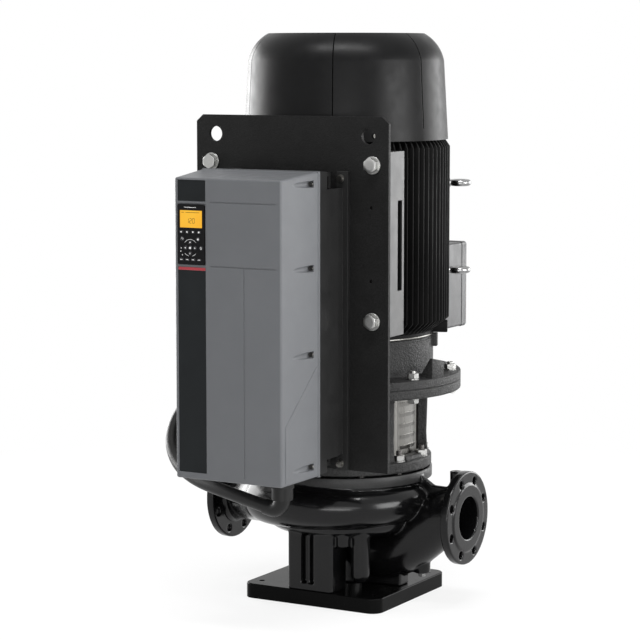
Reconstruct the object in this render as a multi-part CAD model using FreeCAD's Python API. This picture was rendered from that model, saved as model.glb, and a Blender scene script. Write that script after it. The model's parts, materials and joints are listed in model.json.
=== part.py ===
"""Inline centrifugal pump: flanged motor on top, frequency converter on a back plate.

Millimetres. +Z up, +X from the discharge port towards the suction port, +Y away from the drive.
Origin: on the pump axis, at the underside of the base plate.
"""
import FreeCAD
import Part
import math
import os

# Base plate
base_length = 366.0
base_width = 356.0
base_thickness = 35.0
base_corner_radius = 28.0
base_hole_spacing_x = 306.0
base_hole_spacing_y = 274.0
base_hole_radius = 7.0

# Pump housing
port_length = 331.0            # axis to the face of each flange
port_height = 212.0
port_bore_radius = 50.0
port_wall = 12.0
port_straight = 34.0           # straight bore behind each flange face
flange_web = 14.0
neck_collar = 1.0              # the neck behind a flange stands this far out of the cast pipe
bore_step = 0.5                # the machined bore is this much larger than the cast channel
flange_radius = 110.0
flange_thickness = 22.0
flange_pcd = 180.0
flange_holes = 8
flange_hole_radius = 9.5       # holes of the suction flange
discharge_hole_radius = 9.0    # holes of the discharge flange
raised_face_radius = 79.0
raised_face_height = 3.0
volute_height = 240.0          # plane of the spiral above the base
volute_start_angle = 170.0
volute_sweep = 300.0
volute_start_radius = 16.0
volute_end_radius = 57.0
volute_outer_start = 188.0
volute_outer_end = 254.0
volute_wall = 9.0
body_radius = 194.0
body_bottom = 166.0
chamber_radius = 162.0
chamber_floor = 216.0
ring_radius = 207.5
ring_bottom = 287.0
ring_top = 314.0
housing_stud_circle = 190.0
housing_stud_count = 12
housing_stud_radius = 7.0
foot_column_half = 61.0
foot_column_depth = 46.0
foot_left_column = 38.0        # widths of the two columns of the front foot
foot_right_column = 50.0
foot_recess = 20.0
foot_web = 20.0
foot_right_reach = 165.0
foot_screw_radius = 8.0
plug_radius = 8.0
drain_x = 208.0

# Pump inside
wear_ring_height = 12.0
impeller_radius = 125.0
impeller_outlet = 20.0
impeller_blades = 6
impeller_eye_neck = 7.0
impeller_hub_top = 276.0
blade_inner_radius = 54.0
shroud = 5.0
pump_shaft_radius = 20.0
cover_radius = 176.0
cover_flange = 12.0
cover_bottom = 288.0
gasket = 2.0
fit = 0.05                     # radial clearance of a fitted pair
running_gap = 0.4
clear = 0.3

# Motor stool and coupling
stool_bottom = 317.0
stool_flange = 26.0
stool_radius = 206.0
stool_top_flange = 22.5
stool_height = 207.0
stool_post_radius = 197.0
stool_wall = 25.5
stool_post_half_angle = 20.0
motor_flange_radius = 275.0
motor_flange_circle = 250.0
motor_flange_bolts = 8
motor_bolt_radius = 9.0
guard_sheet = 1.5
guard_half_angle = 87.0
guard_slot = 3.5
coupling_radius = 52.0
coupling_height = 118.0
coupling_slit = 3.0
coupling_screw = 5.0
coupling_head = 8.5

# Motor
shaft_end = 140.0
motor_shaft_radius = 32.5
motor_flange_thickness = 20.5
gusset_count = 4
gusset_thickness = 12.0
gusset_reach = 246.0
gusset_inner_height = 47.0
gusset_outer_height = 40.0
neck_radius = 209.0
neck_wall = 16.0
neck_top = 629.0
frame_top = 1097.0
fin_radius = 246.0
fin_root_radius = 215.0
fin_count = 80
fin_thickness = 7.0
frame_bore = 186.0
stator_length = 320.0
stator_bore = 110.0
winding_length = 42.0
air_gap = 1.0
bearing_radius = 85.0
bearing_width = 34.0
bearing_ball_radius = 10.0
race_wall = 11.0
rear_shield = 16.0
fan_cover_bottom_radius = 241.4
fan_cover_shoulder_radius = 231.0
fan_cover_shoulder = 1276.0
fan_cover_dome = (214.3, 1313.8)       # radius and height of a point on the domed shoulder
fan_cover_groove = 3.0
fan_cover_groove_low = 1121.0
fan_cover_groove_angles = (-68.5, -13.0, 47.0, 107.0, 167.0, 227.0)
fan_cover_top_radius = 184.0
overall_height = 1340.0
fan_cover_sheet = 2.5
inlet_radius = 142.0
fan_radius = 188.0
fan_blades = 9
eye_circle = 216.0
eye_angle = 43.0
eye_heights = (985.0, 775.0)
eye_ring_radius = 27.0
eye_bar_radius = 8.0
eye_shank_radius = 8.0

# Terminal box
terminal_half = 147.0
terminal_bottom = 621.0
terminal_height = 209.0
terminal_face = 326.0
terminal_lid = 34.0
terminal_lid_edge = 14.0        # the lid bulges over this depth
terminal_seat = 236.0
terminal_corner = 6.0

# Back plate and brackets
plate_half = 252.6
plate_bottom = 350.7
plate_top = 1152.8
plate_thickness = 9.0
plate_front = 259.2            # distance of its front face in front of the axis
plate_chamfer_x = 17.0
plate_chamfer_z = 15.0
plate_eye_x = 201.0
plate_eye_z = 1109.0
plate_eye_radius = 17.5
flange_relief = 124.0          # half width of the opening where the motor flange passes the plate
plate_screw_x = 212.0
plate_screw_z = (694.0, 1045.0)
bracket_bottom = 660.0
bracket_top = 1075.0
bracket_half = 250.0
bracket_sheet = 6.0
bracket_depth = 73.0
bracket_front_leg = 62.0
bracket_rear_leg = 88.0
bracket_slot = (761.0, 965.0)
bracket_slot_width = 21.0
pad_x = 190.0
pad_half = 24.0
pad_heights = (705.0, 1030.0)

# Drive
drive_face = 531.9             # distance of its front face in front of the axis
drive_half = 136.6
drive_bottom = 351.6
drive_top = 1021.8
drive_rim_face = 388.0
drive_rim_half = 150.0
drive_rim_bottom = 356.8
drive_rim_top = 1034.7
drive_rim_lip = 8.0
drive_wall = 4.0
drive_edge_radius = 5.0
screw_pocket_radius = 8.0
screw_seat_radius = 6.4
housing_half = 141.0
housing_inset = 6.0
housing_step = 89.0            # the housing's front part stands a little wider over this depth
wall_flange_half = 154.0
wall_flange_thickness = 10.0
duct_depth = 20.0              # open cooling duct behind the drive
duct_half = 126.0
ear_x = 136.0
ear_z = (366.4, 1014.4)
ear_pocket = 20.0
strip_left = -129.0
strip_right = -56.0
strip_depth = 1.5
panel_bottom = 831.0
panel_top = 964.0
panel_proud = 2.6
display_bottom = 912.5
display_top = 950.5
display_margin = 7.5
key_ring_x = -94.0             # centre of the ring of arrow keys
key_ring_z = 868.0
key_proud = 1.4
key_travel = 1.0
key_gap = 0.3

# Cable
cable_radius = 15.0
gland_x = 90.0
gland_y = -450.0
gland_radius = 24.0
gland_height = 42.0
elbow_drop = 30.0
elbow_radius = 28.0
terminal_gland_x = -102.0
terminal_gland_y = 290.0
terminal_gland_length = 40.0

V = FreeCAD.Vector
Z_AXIS = V(0, 0, 1)


def cylinder(radius, bottom, top, x=0.0, y=0.0):
    return Part.makeCylinder(radius, top - bottom, V(x, y, bottom))


def tube(outer, inner, bottom, top, x=0.0, y=0.0):
    bore = cylinder(inner, bottom - 1, top + 1, x, y)
    return cylinder(outer, bottom, top, x, y).cut(bore)


def rod(radius, start, end):
    start, end = V(*start), V(*end)
    return Part.makeCylinder(radius, start.distanceToPoint(end), start, end - start)


def block(x, y, z):
    low = V(min(x), min(y), min(z))
    return Part.makeBox(abs(x[1] - x[0]), abs(y[1] - y[0]), abs(z[1] - z[0]), low)


def rounded_block(x, y, z, radius):
    """A block with its four edges along Z rounded."""
    solid = block(x, y, z)
    upright = [e for e in solid.Edges if abs(e.tangentAt(e.FirstParameter).z) > 0.99]
    return solid.makeFillet(radius, upright)


def revolved(profile):
    """Turn a closed outline of (radius, height) points about the pump axis."""
    wire = Part.makePolygon([V(r, 0, z) for r, z in profile + profile[:1]])
    return Part.Face(wire).revolve(V(0, 0, 0), Z_AXIS, 360)


def hexagon(flats, height, x, y, z):
    corner = flats / math.sqrt(3)
    ring = [V(x + corner * math.cos(math.radians(60 * i)), y + corner * math.sin(math.radians(60 * i)), z)
            for i in range(7)]
    return Part.Face(Part.makePolygon(ring)).extrude(V(0, 0, height))


def turned(shape, angle, centre=(0, 0, 0), axis=(0, 0, 1)):
    copy = shape.copy()
    copy.rotate(V(*centre), V(*axis), angle)
    return copy


def moved(shape, x=0.0, y=0.0, z=0.0):
    copy = shape.copy()
    copy.translate(V(x, y, z))
    return copy


def around(shape, count, first=0.0):
    return [turned(shape, first + 360.0 * i / count) for i in range(count)]


def joined(shapes):
    result = shapes[0]
    if len(shapes) > 1:
        result = result.fuse(shapes[1:])
    return result.removeSplitter()


def along_y(shape):
    """Lay a shape that points up so that it points to the front, -Y."""
    return turned(shape, 90, (0, 0, 0), (1, 0, 0))


def front_piece(shape, x, face, z):
    """Place a shape drawn about the Z axis so that it points to -Y, its zero on the plane y = -face."""
    return moved(along_y(shape), x, -face, z)


def bend_points(points):
    """Runs joined by tangent arcs, each as large as its two runs allow, with the radii used."""
    path = [V(*p) for p in points]
    edges, radii, last = [], [], path[0]
    for before, corner, after in zip(path, path[1:], path[2:]):
        back, ahead = before - corner, after - corner
        turn = math.pi - back.getAngle(ahead)
        reach = 0.45 * min(back.Length, ahead.Length)
        radii.append(reach / math.tan(turn / 2))
        back.normalize()
        ahead.normalize()
        start, end = corner + back * reach, corner + ahead * reach
        inward = back + ahead
        inward.normalize()
        middle = corner + inward * (radii[-1] / math.cos(turn / 2) - radii[-1])
        edges.append(Part.LineSegment(last, start).toShape())
        edges.append(Part.Arc(start, middle, end).toShape())
        last = end
    edges.append(Part.LineSegment(last, path[-1]).toShape())
    return Part.Wire(edges), radii


def swept(wire, radius):
    """A round bar of the given radius along a path of runs and tangent arcs."""
    start = wire.Edges[0].valueAt(wire.Edges[0].FirstParameter)
    direction = wire.Edges[0].tangentAt(wire.Edges[0].FirstParameter)
    section = Part.Wire(Part.Circle(start, direction, radius).toShape())
    return wire.makePipeShell([section], True, False, 1)


def bent_bar(start, corner, end, bend_radius, radius):
    """A round bar from start to end with one bend of the given radius near the corner."""
    down, out = (corner - start).normalize(), (end - corner).normalize()
    turn = down.getAngle(out)
    reach = bend_radius * math.tan(turn / 2)
    axis = down.cross(out).normalize()
    bend_start, bend_end = corner - down * reach, corner + out * reach
    centre = bend_start + axis.cross(down) * bend_radius
    section = Part.Face(Part.Wire(Part.Circle(bend_start, down, radius).toShape()))
    bend = section.revolve(centre, axis, math.degrees(turn))
    first = Part.makeCylinder(radius, start.distanceToPoint(bend_start), start, down)
    last = Part.makeCylinder(radius, bend_end.distanceToPoint(end), bend_end, out)
    return first.fuse([bend, last])


# Pump housing

def volute_ring(angle, centre_radius, radius, height):
    """A circle that stands upright on a ray from the pump axis."""
    circle = Part.Circle(V(centre_radius, 0, height), V(0, 1, 0), radius)
    return turned(Part.Wire(circle.toShape()), angle)


def upright_circle(x, y, z, heading, radius):
    """A circle across a path that runs level, heading measured from -X."""
    circle = Part.Circle(V(0, 0, 0), V(1, 0, 0), radius)
    ring = turned(Part.Wire(circle.toShape()), 90, (0, 0, 0), (1, 0, 0))
    return moved(turned(ring, heading), x, y, z)


def volute_size(share):
    radius = volute_start_radius + share * (volute_end_radius - volute_start_radius)
    outer = volute_outer_start + share * (volute_outer_end - volute_outer_start)
    return radius, outer - radius


def volute(wall):
    """The spiral from the tongue to its outlet, smaller by a wall when it is the channel."""
    steps = 10
    rings = []
    for i in range(steps + 1):
        radius, centre = volute_size(i / steps)
        rings.append(volute_ring(volute_start_angle - volute_sweep * i / steps, centre, radius - wall,
                                 volute_height))
    spiral = Part.makeLoft(rings, True, False)
    nose = Part.makeSphere(volute_start_radius - wall, V(volute_size(0)[1], 0, volute_height))
    return spiral.fuse(turned(nose, volute_start_angle))


def outlet(wall):
    """The pipe from the end of the spiral to the discharge flange."""
    radius, centre = volute_size(1)
    angle = volute_start_angle - volute_sweep
    start_x = centre * math.cos(math.radians(angle))
    start_y = centre * math.sin(math.radians(angle))
    end_x = port_straight - port_length
    drop = volute_height - port_height
    pipe = port_bore_radius + port_wall
    rings = []
    for share, side, heading in ((0, 1.0, angle + 90), (0.3, 0.69, -42), (0.6, 0.37, -36), (0.85, 0.1, -17),
                                 (1, 0, 0)):
        size = radius + (pipe - radius) * share
        size -= (volute_wall + (port_wall + bore_step - volute_wall) * share) * wall
        rings.append(upright_circle(start_x + (end_x - start_x) * share, start_y * side,
                                    volute_height - drop * share, heading, size))
    return Part.makeLoft(rings, True, False)


def suction_elbow(radius_start, radius_end):
    """The bent pipe that dips from the suction flange under the spiral and rises to the impeller eye."""
    path = ((1.0, 0.0, 0), (0.87, -13.0, -28), (0.71, -50.0, -38), (0.555, -84.0, -28), (0.39, -101.0, -8),
            (0.24, -98.0, 18), (0.113, -80.0, 48), (0.033, -50.0, 75), (0.0, -14.0, 90))
    rings = []
    for i, (reach, drop, heading) in enumerate(path):
        share = i / (len(path) - 1)
        circle = Part.Circle(V(0, 0, 0), V(1, 0, 0), radius_start + (radius_end - radius_start) * share)
        ring = turned(Part.Wire(circle.toShape()), 90, (0, 0, 0), (1, 0, 0))
        ring = turned(ring, heading, (0, 0, 0), (0, 1, 0))
        rings.append(moved(ring, reach * (port_length - port_straight), 0, port_height + drop))
    return Part.makeLoft(rings, True, False)


def port_flange():
    """A pipe flange on the +X side with its raised face and a straight neck behind it."""
    back = port_length - flange_thickness
    body = rod(flange_radius, (back, 0, port_height), (port_length - raised_face_height, 0, port_height))
    rim = [e for e in body.Edges if len(e.Vertexes) == 1]
    body = body.makeFillet(2.0, rim)
    face = rod(raised_face_radius, (back, 0, port_height), (port_length, 0, port_height))
    neck = rod(port_bore_radius + port_wall + neck_collar, (port_length - port_straight - 4, 0, port_height),
               (back + 1, 0, port_height))
    hub = Part.makeCone(port_bore_radius + port_wall + 9, port_bore_radius + port_wall + neck_collar, 9,
                        V(back, 0, port_height), V(-1, 0, 0))
    top = port_height + flange_radius - 1
    tapping = rod(13, (back - 14, 0, port_height + 40), (back - 14, 0, top))
    tapping = tapping.fuse(block((back - 14, back + 4), (-13, 13), (port_height + 60, top)))
    half = flange_web / 2
    side = [(body_radius - 10, port_height + 20), (body_radius - 10, ring_bottom + 14),
            (ring_radius + 2, ring_bottom + 14), (ring_radius + 32, ring_bottom - 5),
            (back - 35, ring_bottom - 6), (back - 13, top - 10), (back + 2, top - 10),
            (back + 2, port_height + 20)]
    web = Part.Face(Part.makePolygon([V(x, -half, z) for x, z in side + side[:1]])).extrude(V(0, 2 * half, 0))
    return joined([body, face, neck, hub, tapping, web])


def flange_holes_cut(radius):
    holes = []
    for i in range(flange_holes):
        a = math.radians(360.0 * (i + 0.5) / flange_holes)
        y, z = flange_pcd / 2 * math.sin(a), port_height + flange_pcd / 2 * math.cos(a)
        holes.append(rod(radius, (port_length - flange_thickness - 1, y, z), (port_length + 1, y, z)))
    return holes


def foot_column():
    """The front foot: two columns with a recessed web and a thin rib between them."""
    y_front = -(base_width / 2 - 3)
    half = foot_column_half
    y_back = y_front + foot_column_depth
    body = block((-half, half), (y_front, y_back), (base_thickness, volute_height - 30))
    upright = [e for e in body.Edges if abs(e.tangentAt(e.FirstParameter).z) > 0.99]
    body = body.makeFillet(9.0, upright)
    gap = (foot_left_column - half, half - foot_right_column)
    middle = (gap[0] + gap[1]) / 2
    recess = block(gap, (y_front - 1, y_front + foot_recess), (base_thickness + 16, volute_height))
    middle_rib = block((middle - 5, middle + 5), (y_front + 4, y_front + foot_recess + 2),
                       (base_thickness, volute_height - 30))
    body = body.cut(recess).fuse(middle_rib)
    rib = block((half - 14, half), (y_back - 20, y_back + 24), (base_thickness, volute_height - 60))
    return joined([body, rib, moved(rib, 14 - 2 * half)])


def make_pump_housing():
    pipe = port_bore_radius + port_wall
    flange = port_flange()
    mirror_flange = turned(flange, 180)
    body = revolved([(0, body_bottom), (body_radius - 24, body_bottom), (body_radius - 6, body_bottom + 12),
                     (body_radius, body_bottom + 24), (body_radius, ring_bottom - 6),
                     (ring_radius - 6, ring_bottom), (ring_radius, ring_bottom),
                     (ring_radius, ring_top - 1.5), (ring_radius - 1.5, ring_top), (0, ring_top)])
    front = foot_column()
    web_top = body_bottom + 10
    web = block((-foot_web / 2, foot_web / 2), (20 - base_width / 2, base_width / 2 - 20),
                (base_thickness, web_top))
    right_foot = block((20, foot_right_reach), (-30, 14), (base_thickness, base_thickness + 45))
    heel = cylinder(66, base_thickness, port_height - 90)
    lug_x, lug_y = 108, -122
    lug = cylinder(23, 78, volute_height - 40, lug_x, lug_y).fuse(Part.makeSphere(23, V(lug_x, lug_y, 78)))
    boss = cylinder(17, body_bottom - 22, body_bottom + 10, 76, -148)
    drain = cylinder(20, 68, port_height - 70, drain_x, 0)
    inlet = suction_elbow(pipe, pipe + 2).fuse(flange)
    outer = joined([body, volute(0), outlet(0).fuse(mirror_flange), inlet, front, turned(front, 180), web,
                    right_foot, heel, lug, boss, drain])
    channel = volute(volute_wall).fuse(outlet(1))
    slot = cylinder(volute_size(0)[1] + 4, volute_height - impeller_outlet / 2 - 2,
                    volute_height + impeller_outlet / 2 + 2)
    eye = cylinder(port_bore_radius, port_height - 20, chamber_floor + 1)
    seat = cylinder(wear_ring_outer(), chamber_floor - wear_ring_height, chamber_floor + 1)
    chamber = cylinder(chamber_radius, chamber_floor, ring_top + 1)
    recess = cylinder(cover_radius + clear, stool_bottom - cover_flange - gasket, ring_top + 1)
    bore = rod(port_bore_radius, (port_length - port_straight - 3, 0, port_height),
               (port_length + 1, 0, port_height))
    cuts = [channel, slot, eye, seat, chamber, recess, bore, turned(bore, 180),
            suction_elbow(port_bore_radius - bore_step, port_bore_radius - bore_step)]
    cuts += flange_holes_cut(flange_hole_radius)
    cuts += [turned(h, 180) for h in flange_holes_cut(discharge_hole_radius)]
    stud = cylinder(housing_stud_radius + clear, ring_top - 24, ring_top + 1, housing_stud_circle)
    cuts += around(stud, housing_stud_count, housing_stud_first())
    for x, y in foot_screw_places():
        cuts.append(cylinder(foot_screw_radius + clear, base_thickness - 1, base_thickness + 26, x, y))
    for side in (1, -1):
        cuts.append(tapping_hole(side))
    cuts.append(cylinder(plug_radius + clear, 60, 88, drain_x, 0))
    return outer.cut(cuts)


def wear_ring_outer():
    return port_bore_radius + 16


def housing_stud_first():
    return 180.0 / housing_stud_count - 5


def foot_screw_places():
    y = base_width / 2 - 3 - foot_column_depth / 2
    return [(x * 0.6 * foot_column_half, s * y) for x in (-1, 1) for s in (-1, 1)]


def tapping_hole(side):
    x = side * (port_length - flange_thickness - 14)
    top = port_height + flange_radius - 1
    return cylinder(plug_radius + clear, top - 17, top + 1, x, 0)


def make_housing_plugs():
    """Socket plugs flush with the tapping bosses, and a hexagon plug in the drain."""
    flush = cylinder(plug_radius, 0, 16).cut(hexagon(8, 8, 0, 0, 9))
    x = port_length - flange_thickness - 14
    low_face = port_height + flange_radius - 1 - 17
    plug = cylinder(plug_radius, 0, 16).fuse(hexagon(17, 8, 0, 0, 16))
    low = turned(plug, 180, (0, 0, 0), (1, 0, 0))
    return [moved(flush, x, 0, low_face), moved(flush, -x, 0, low_face), moved(low, drain_x, 0, 84)]


def make_base_plate():
    plate = rounded_block((-base_length / 2, base_length / 2), (-base_width / 2, base_width / 2),
                          (0, base_thickness), base_corner_radius)
    top = [e for e in plate.Edges if e.BoundBox.ZMin > base_thickness - 0.1]
    plate = plate.makeFillet(3.0, top)
    holes = [cylinder(base_hole_radius, -1, base_thickness + 1, sx * base_hole_spacing_x / 2,
                      sy * base_hole_spacing_y / 2) for sx in (-1, 1) for sy in (-1, 1)]
    for x, y in foot_screw_places():
        holes.append(cylinder(foot_screw_radius + clear, -1, base_thickness + 1, x, y))
        holes.append(cylinder(2.1 * foot_screw_radius, -1, 14, x, y))
    return plate.cut(holes)


def make_foot_screws():
    screws = []
    for x, y in foot_screw_places():
        head = hexagon(3 * foot_screw_radius, 10, x, y, 4)
        screws.append(head.fuse(cylinder(foot_screw_radius, 14, base_thickness + 24, x, y)))
    return screws


def make_wear_ring():
    return tube(wear_ring_outer() - fit, port_bore_radius + 7 + running_gap, chamber_floor - wear_ring_height,
                chamber_floor)


# Rotating parts of the pump

def make_impeller():
    low = volute_height - impeller_outlet / 2
    high = volute_height + impeller_outlet / 2
    eye = port_bore_radius
    hub = pump_shaft_radius + 10
    bottom = chamber_floor - wear_ring_height + running_gap
    front = revolved([(eye, bottom), (eye + impeller_eye_neck, bottom),
                      (eye + impeller_eye_neck, chamber_floor + 2), (eye + 22, low - shroud - 1),
                      (impeller_radius, low - shroud), (impeller_radius, low),
                      (eye + 20, low - 1), (eye + 2, chamber_floor + 5)])
    back = revolved([(pump_shaft_radius + fit, low - 6), (hub, low - 6), (hub + 9, high - 6),
                     (hub + 24, high), (impeller_radius, high), (impeller_radius, high + shroud),
                     (hub + 20, high + shroud), (hub, high + 12), (hub, impeller_hub_top),
                     (pump_shaft_radius + fit, impeller_hub_top)])
    blades = around(impeller_blade(low - 2, high + 2), impeller_blades)
    return joined([front, back] + blades)


def impeller_blade(low, high):
    """A backward-curved blade between two arcs."""
    def at(radius, angle):
        a = math.radians(angle)
        return V(radius * math.cos(a), radius * math.sin(a), low)

    inner, middle, tip = blade_inner_radius, (blade_inner_radius + impeller_radius) / 2, impeller_radius - 1
    one = Part.Arc(at(inner, 0), at(middle, 30), at(tip, 50)).toShape()
    two = Part.Arc(at(tip, 53), at(middle, 34.5), at(inner, 5)).toShape()
    ends = [Part.makeLine(at(tip, 50), at(tip, 53)), Part.makeLine(at(inner, 5), at(inner, 0))]
    return Part.Face(Part.Wire([one, ends[0], two, ends[1]])).extrude(V(0, 0, high - low))


def make_impeller_nut():
    bottom = chamber_floor - 12
    nut = hexagon(38, 10, 0, 0, bottom + 6).fuse(Part.makeCone(10, 18, 6, V(0, 0, bottom)))
    seat = volute_height - impeller_outlet / 2 - 6
    collar = cylinder(22, bottom + 16, seat)
    return joined([nut, collar]).cut(cylinder(12 + fit, bottom + 4, seat + 1))


def make_pump_shaft():
    top = coupling_middle() - 0.5
    seat = volute_height - impeller_outlet / 2 - 6
    return joined([cylinder(12, chamber_floor - 7, seat + 1), cylinder(pump_shaft_radius, seat, top)])


def make_seal_rotating():
    return tube(pump_shaft_radius + 8, pump_shaft_radius + fit, impeller_hub_top + 0.3, impeller_hub_top + 13)


def make_seal_stationary():
    return tube(pump_shaft_radius + 12, pump_shaft_radius + 1, impeller_hub_top + 13.3, impeller_hub_top + 26)


def make_pump_cover():
    seal = pump_shaft_radius + 12 + fit
    seat = stool_bottom - cover_flange
    low = impeller_hub_top + 12
    return revolved([(seal, low), (seal + 14, low), (seal + 14, cover_bottom),
                     (chamber_radius - clear, cover_bottom), (chamber_radius - clear, seat),
                     (cover_radius, seat), (cover_radius, stool_bottom), (pump_shaft_radius + 1, stool_bottom),
                     (pump_shaft_radius + 1, impeller_hub_top + 26), (seal, impeller_hub_top + 26)])


def make_cover_gasket():
    seat = stool_bottom - cover_flange
    return tube(cover_radius - 1, chamber_radius + 1, seat - gasket, seat)


def make_housing_studs():
    nut_seat = stool_bottom + stool_flange
    studs = []
    stud = joined([cylinder(housing_stud_radius, ring_top - 22, nut_seat + 22),
                   tube(15, housing_stud_radius, nut_seat, nut_seat + 2.5),
                   hexagon(24, 13, 0, 0, nut_seat + 2.5)])
    for i in range(housing_stud_count):
        a = math.radians(housing_stud_first() + 360.0 * i / housing_stud_count)
        studs.append(moved(stud, housing_stud_circle * math.cos(a), housing_stud_circle * math.sin(a)))
    return studs


# Motor stool, guards and coupling

def stool_top():
    return stool_bottom + stool_height


def coupling_middle():
    return stool_top() - shaft_end


def make_motor_stool():
    top = stool_top()
    low_flange = stool_bottom + stool_flange
    high_flange = top - stool_top_flange
    inner = stool_post_radius - stool_wall
    shell = revolved([(cover_radius - 20, stool_bottom), (stool_radius, stool_bottom),
                      (stool_radius, low_flange - 2), (stool_radius - 3, low_flange),
                      (stool_post_radius + 2, low_flange), (stool_post_radius - 1, low_flange + 12),
                      (stool_post_radius - 3, low_flange + 50), (stool_post_radius, high_flange),
                      (motor_flange_radius - 2, high_flange), (motor_flange_radius, high_flange + 2),
                      (motor_flange_radius, top), (inner, top), (inner, low_flange),
                      (cover_radius - 20, low_flange)])
    window_half = (90 - 2 * stool_post_half_angle) / 2
    reach = stool_post_radius + 60
    edge = reach * math.tan(math.radians(window_half))
    wedge = Part.makePolygon([V(0, 0, 0), V(reach, -edge, 0), V(reach, edge, 0), V(0, 0, 0)])
    window = Part.Face(wedge).extrude(V(0, 0, high_flange - 10 - low_flange - 10))
    window.translate(V(0, 0, low_flange + 10))
    cuts = around(window, 4)
    stud = cylinder(housing_stud_radius + clear, stool_bottom - 1, low_flange + 40, housing_stud_circle)
    cuts += around(stud, housing_stud_count, housing_stud_first())
    pocket = cylinder(17, low_flange, low_flange + 28, housing_stud_circle)
    cuts += around(pocket, housing_stud_count, housing_stud_first())
    bolt = cylinder(motor_bolt_radius + clear, high_flange - 1, top + 1, motor_flange_circle)
    cuts += around(bolt, motor_flange_bolts, 180.0 / motor_flange_bolts)
    return shell.cut(cuts)


def make_coupling_guards():
    """Two half shells of sheet with thin slots, which close the windows of the stool."""
    low = stool_bottom + stool_flange + 4
    high = stool_top() - stool_top_flange - 4
    guard_radius = stool_post_radius - stool_wall - clear
    sheet = tube(guard_radius, guard_radius - guard_sheet, low, high)
    reach = guard_radius * 2
    edge = reach / math.tan(math.radians(90 - guard_half_angle + 0.01))
    wedge = Part.makePolygon([V(0, 0, 0), V(reach, -edge, 0), V(reach, edge, 0), V(0, 0, 0)])
    sector = Part.Face(wedge).extrude(V(0, 0, high - low + 2))
    sector.translate(V(0, 0, low - 1))
    sheet = sheet.common(sector)
    levels = [low + (high - low) * share for share in (0.28, 0.46, 0.64, 0.82)]
    cuts = []
    for half_width, angle in ((28, 0), (11, 70), (11, -70)):
        slot = block((guard_radius - 6, guard_radius + 4), (-half_width, half_width), (0, guard_slot))
        cuts += [turned(moved(slot, 0, 0, z), angle) for z in levels]
    right = sheet.cut(cuts)
    return [right, turned(right, 180)]


def coupling_screw_places():
    middle = coupling_middle()
    x = (motor_shaft_radius + coupling_radius) / 2
    return [(s * x, middle + h) for s in (-1, 1) for h in (-0.32 * coupling_height, 0.32 * coupling_height)]


def coupling_seat():
    """Depth of the flat that a screw head sits on, in front of the shaft's centre."""
    return math.sqrt(coupling_radius ** 2 - coupling_screw_places()[-1][0] ** 2) - 10


def make_coupling_halves():
    middle = coupling_middle()
    low, high = middle - coupling_height / 2, middle + coupling_height / 2
    body = cylinder(coupling_radius, low, high)
    rim = [e for e in body.Edges if len(e.Vertexes) == 1]
    body = body.makeChamfer(3.0, rim)
    cuts = [cylinder(pump_shaft_radius + fit, low - 1, middle),
            cylinder(motor_shaft_radius + fit, middle, high + 1)]
    for x, z in coupling_screw_places():
        cuts.append(rod(coupling_screw + fit, (x, -coupling_radius, z), (x, coupling_radius, z)))
        cuts.append(rod(coupling_head + clear, (x, -coupling_radius, z), (x, -coupling_seat(), z)))
    body = body.cut(cuts)
    slit = coupling_slit / 2
    wide = 2 * coupling_radius
    front = body.common(block((-wide, wide), (-wide, -slit), (low - 1, high + 1)))
    back = body.common(block((-wide, wide), (slit, wide), (low - 1, high + 1)))
    return [front, back]


def make_coupling_screws():
    screws = []
    seat = coupling_seat()
    for x, z in coupling_screw_places():
        head = rod(coupling_head, (x, -seat - 9, z), (x, -seat, z))
        screws.append(head.fuse(rod(coupling_screw, (x, -seat - 1, z), (x, seat, z))))
    return screws


# Motor

def flange_level():
    return stool_top() + motor_flange_thickness


def shield_hub():
    return flange_level() + 16


def make_drive_end_shield():
    low, face = stool_top(), flange_level()
    hub_low, hub_high = shield_hub(), shield_hub() + bearing_width + 14
    inner = neck_radius - neck_wall
    seat = bearing_radius + fit
    shell = revolved([(motor_shaft_radius + 2, low), (motor_flange_radius - 1.5, low),
                      (motor_flange_radius, low + 1.5), (motor_flange_radius, face - 2),
                      (motor_flange_radius - 2, face), (neck_radius + 6, face), (neck_radius, face + 6),
                      (neck_radius, neck_top - 2), (neck_radius - 2, neck_top), (inner, neck_top),
                      (inner, face + 6), (seat + 18, face + 6), (seat + 18, hub_high), (seat, hub_high),
                      (seat, hub_low), (motor_shaft_radius + 2, hub_low)])
    outer, root, half = gusset_reach, neck_radius - 3, gusset_thickness / 2
    gusset = Part.makePolygon([V(root, -half, face - 1), V(outer, -half, face - 1),
                               V(outer, -half, face + gusset_outer_height),
                               V(root, -half, face + gusset_inner_height), V(root, -half, face - 1)])
    rib = Part.Face(gusset).extrude(V(0, gusset_thickness, 0))
    lug = block((neck_radius - 4, neck_radius + 17), (-10, 10), (neck_top - 30, neck_top))
    shell = joined([shell] + around(rib, gusset_count, 45) + [turned(lug, a) for a in (20, 160)])
    bolt = cylinder(motor_bolt_radius, low - 1, face + 1, motor_flange_circle)
    windows = block((neck_radius - 30, neck_radius + 20), (-34, 34), (face + 26, neck_top - 22))
    cuts = around(bolt, motor_flange_bolts, 180.0 / motor_flange_bolts)
    return shell.cut(cuts + [turned(windows, 90)])


def make_flange_screws():
    """Screw, two washers and nut for each hole of the motor flange."""
    low, high = stool_top() - stool_top_flange, flange_level()
    radius = motor_bolt_radius - 1
    screw = joined([hexagon(24, 10, 0, 0, low - 12.5), tube(15, radius, low - 2.5, low),
                    cylinder(radius, low - 12.5, high + 20), tube(15, radius, high, high + 2.5),
                    hexagon(24, 13, 0, 0, high + 2.5)])
    angles = [180.0 / motor_flange_bolts + 360.0 * i / motor_flange_bolts for i in range(motor_flange_bolts)]
    return [moved(screw, motor_flange_circle * math.cos(math.radians(a)),
                  motor_flange_circle * math.sin(math.radians(a))) for a in angles]


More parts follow.
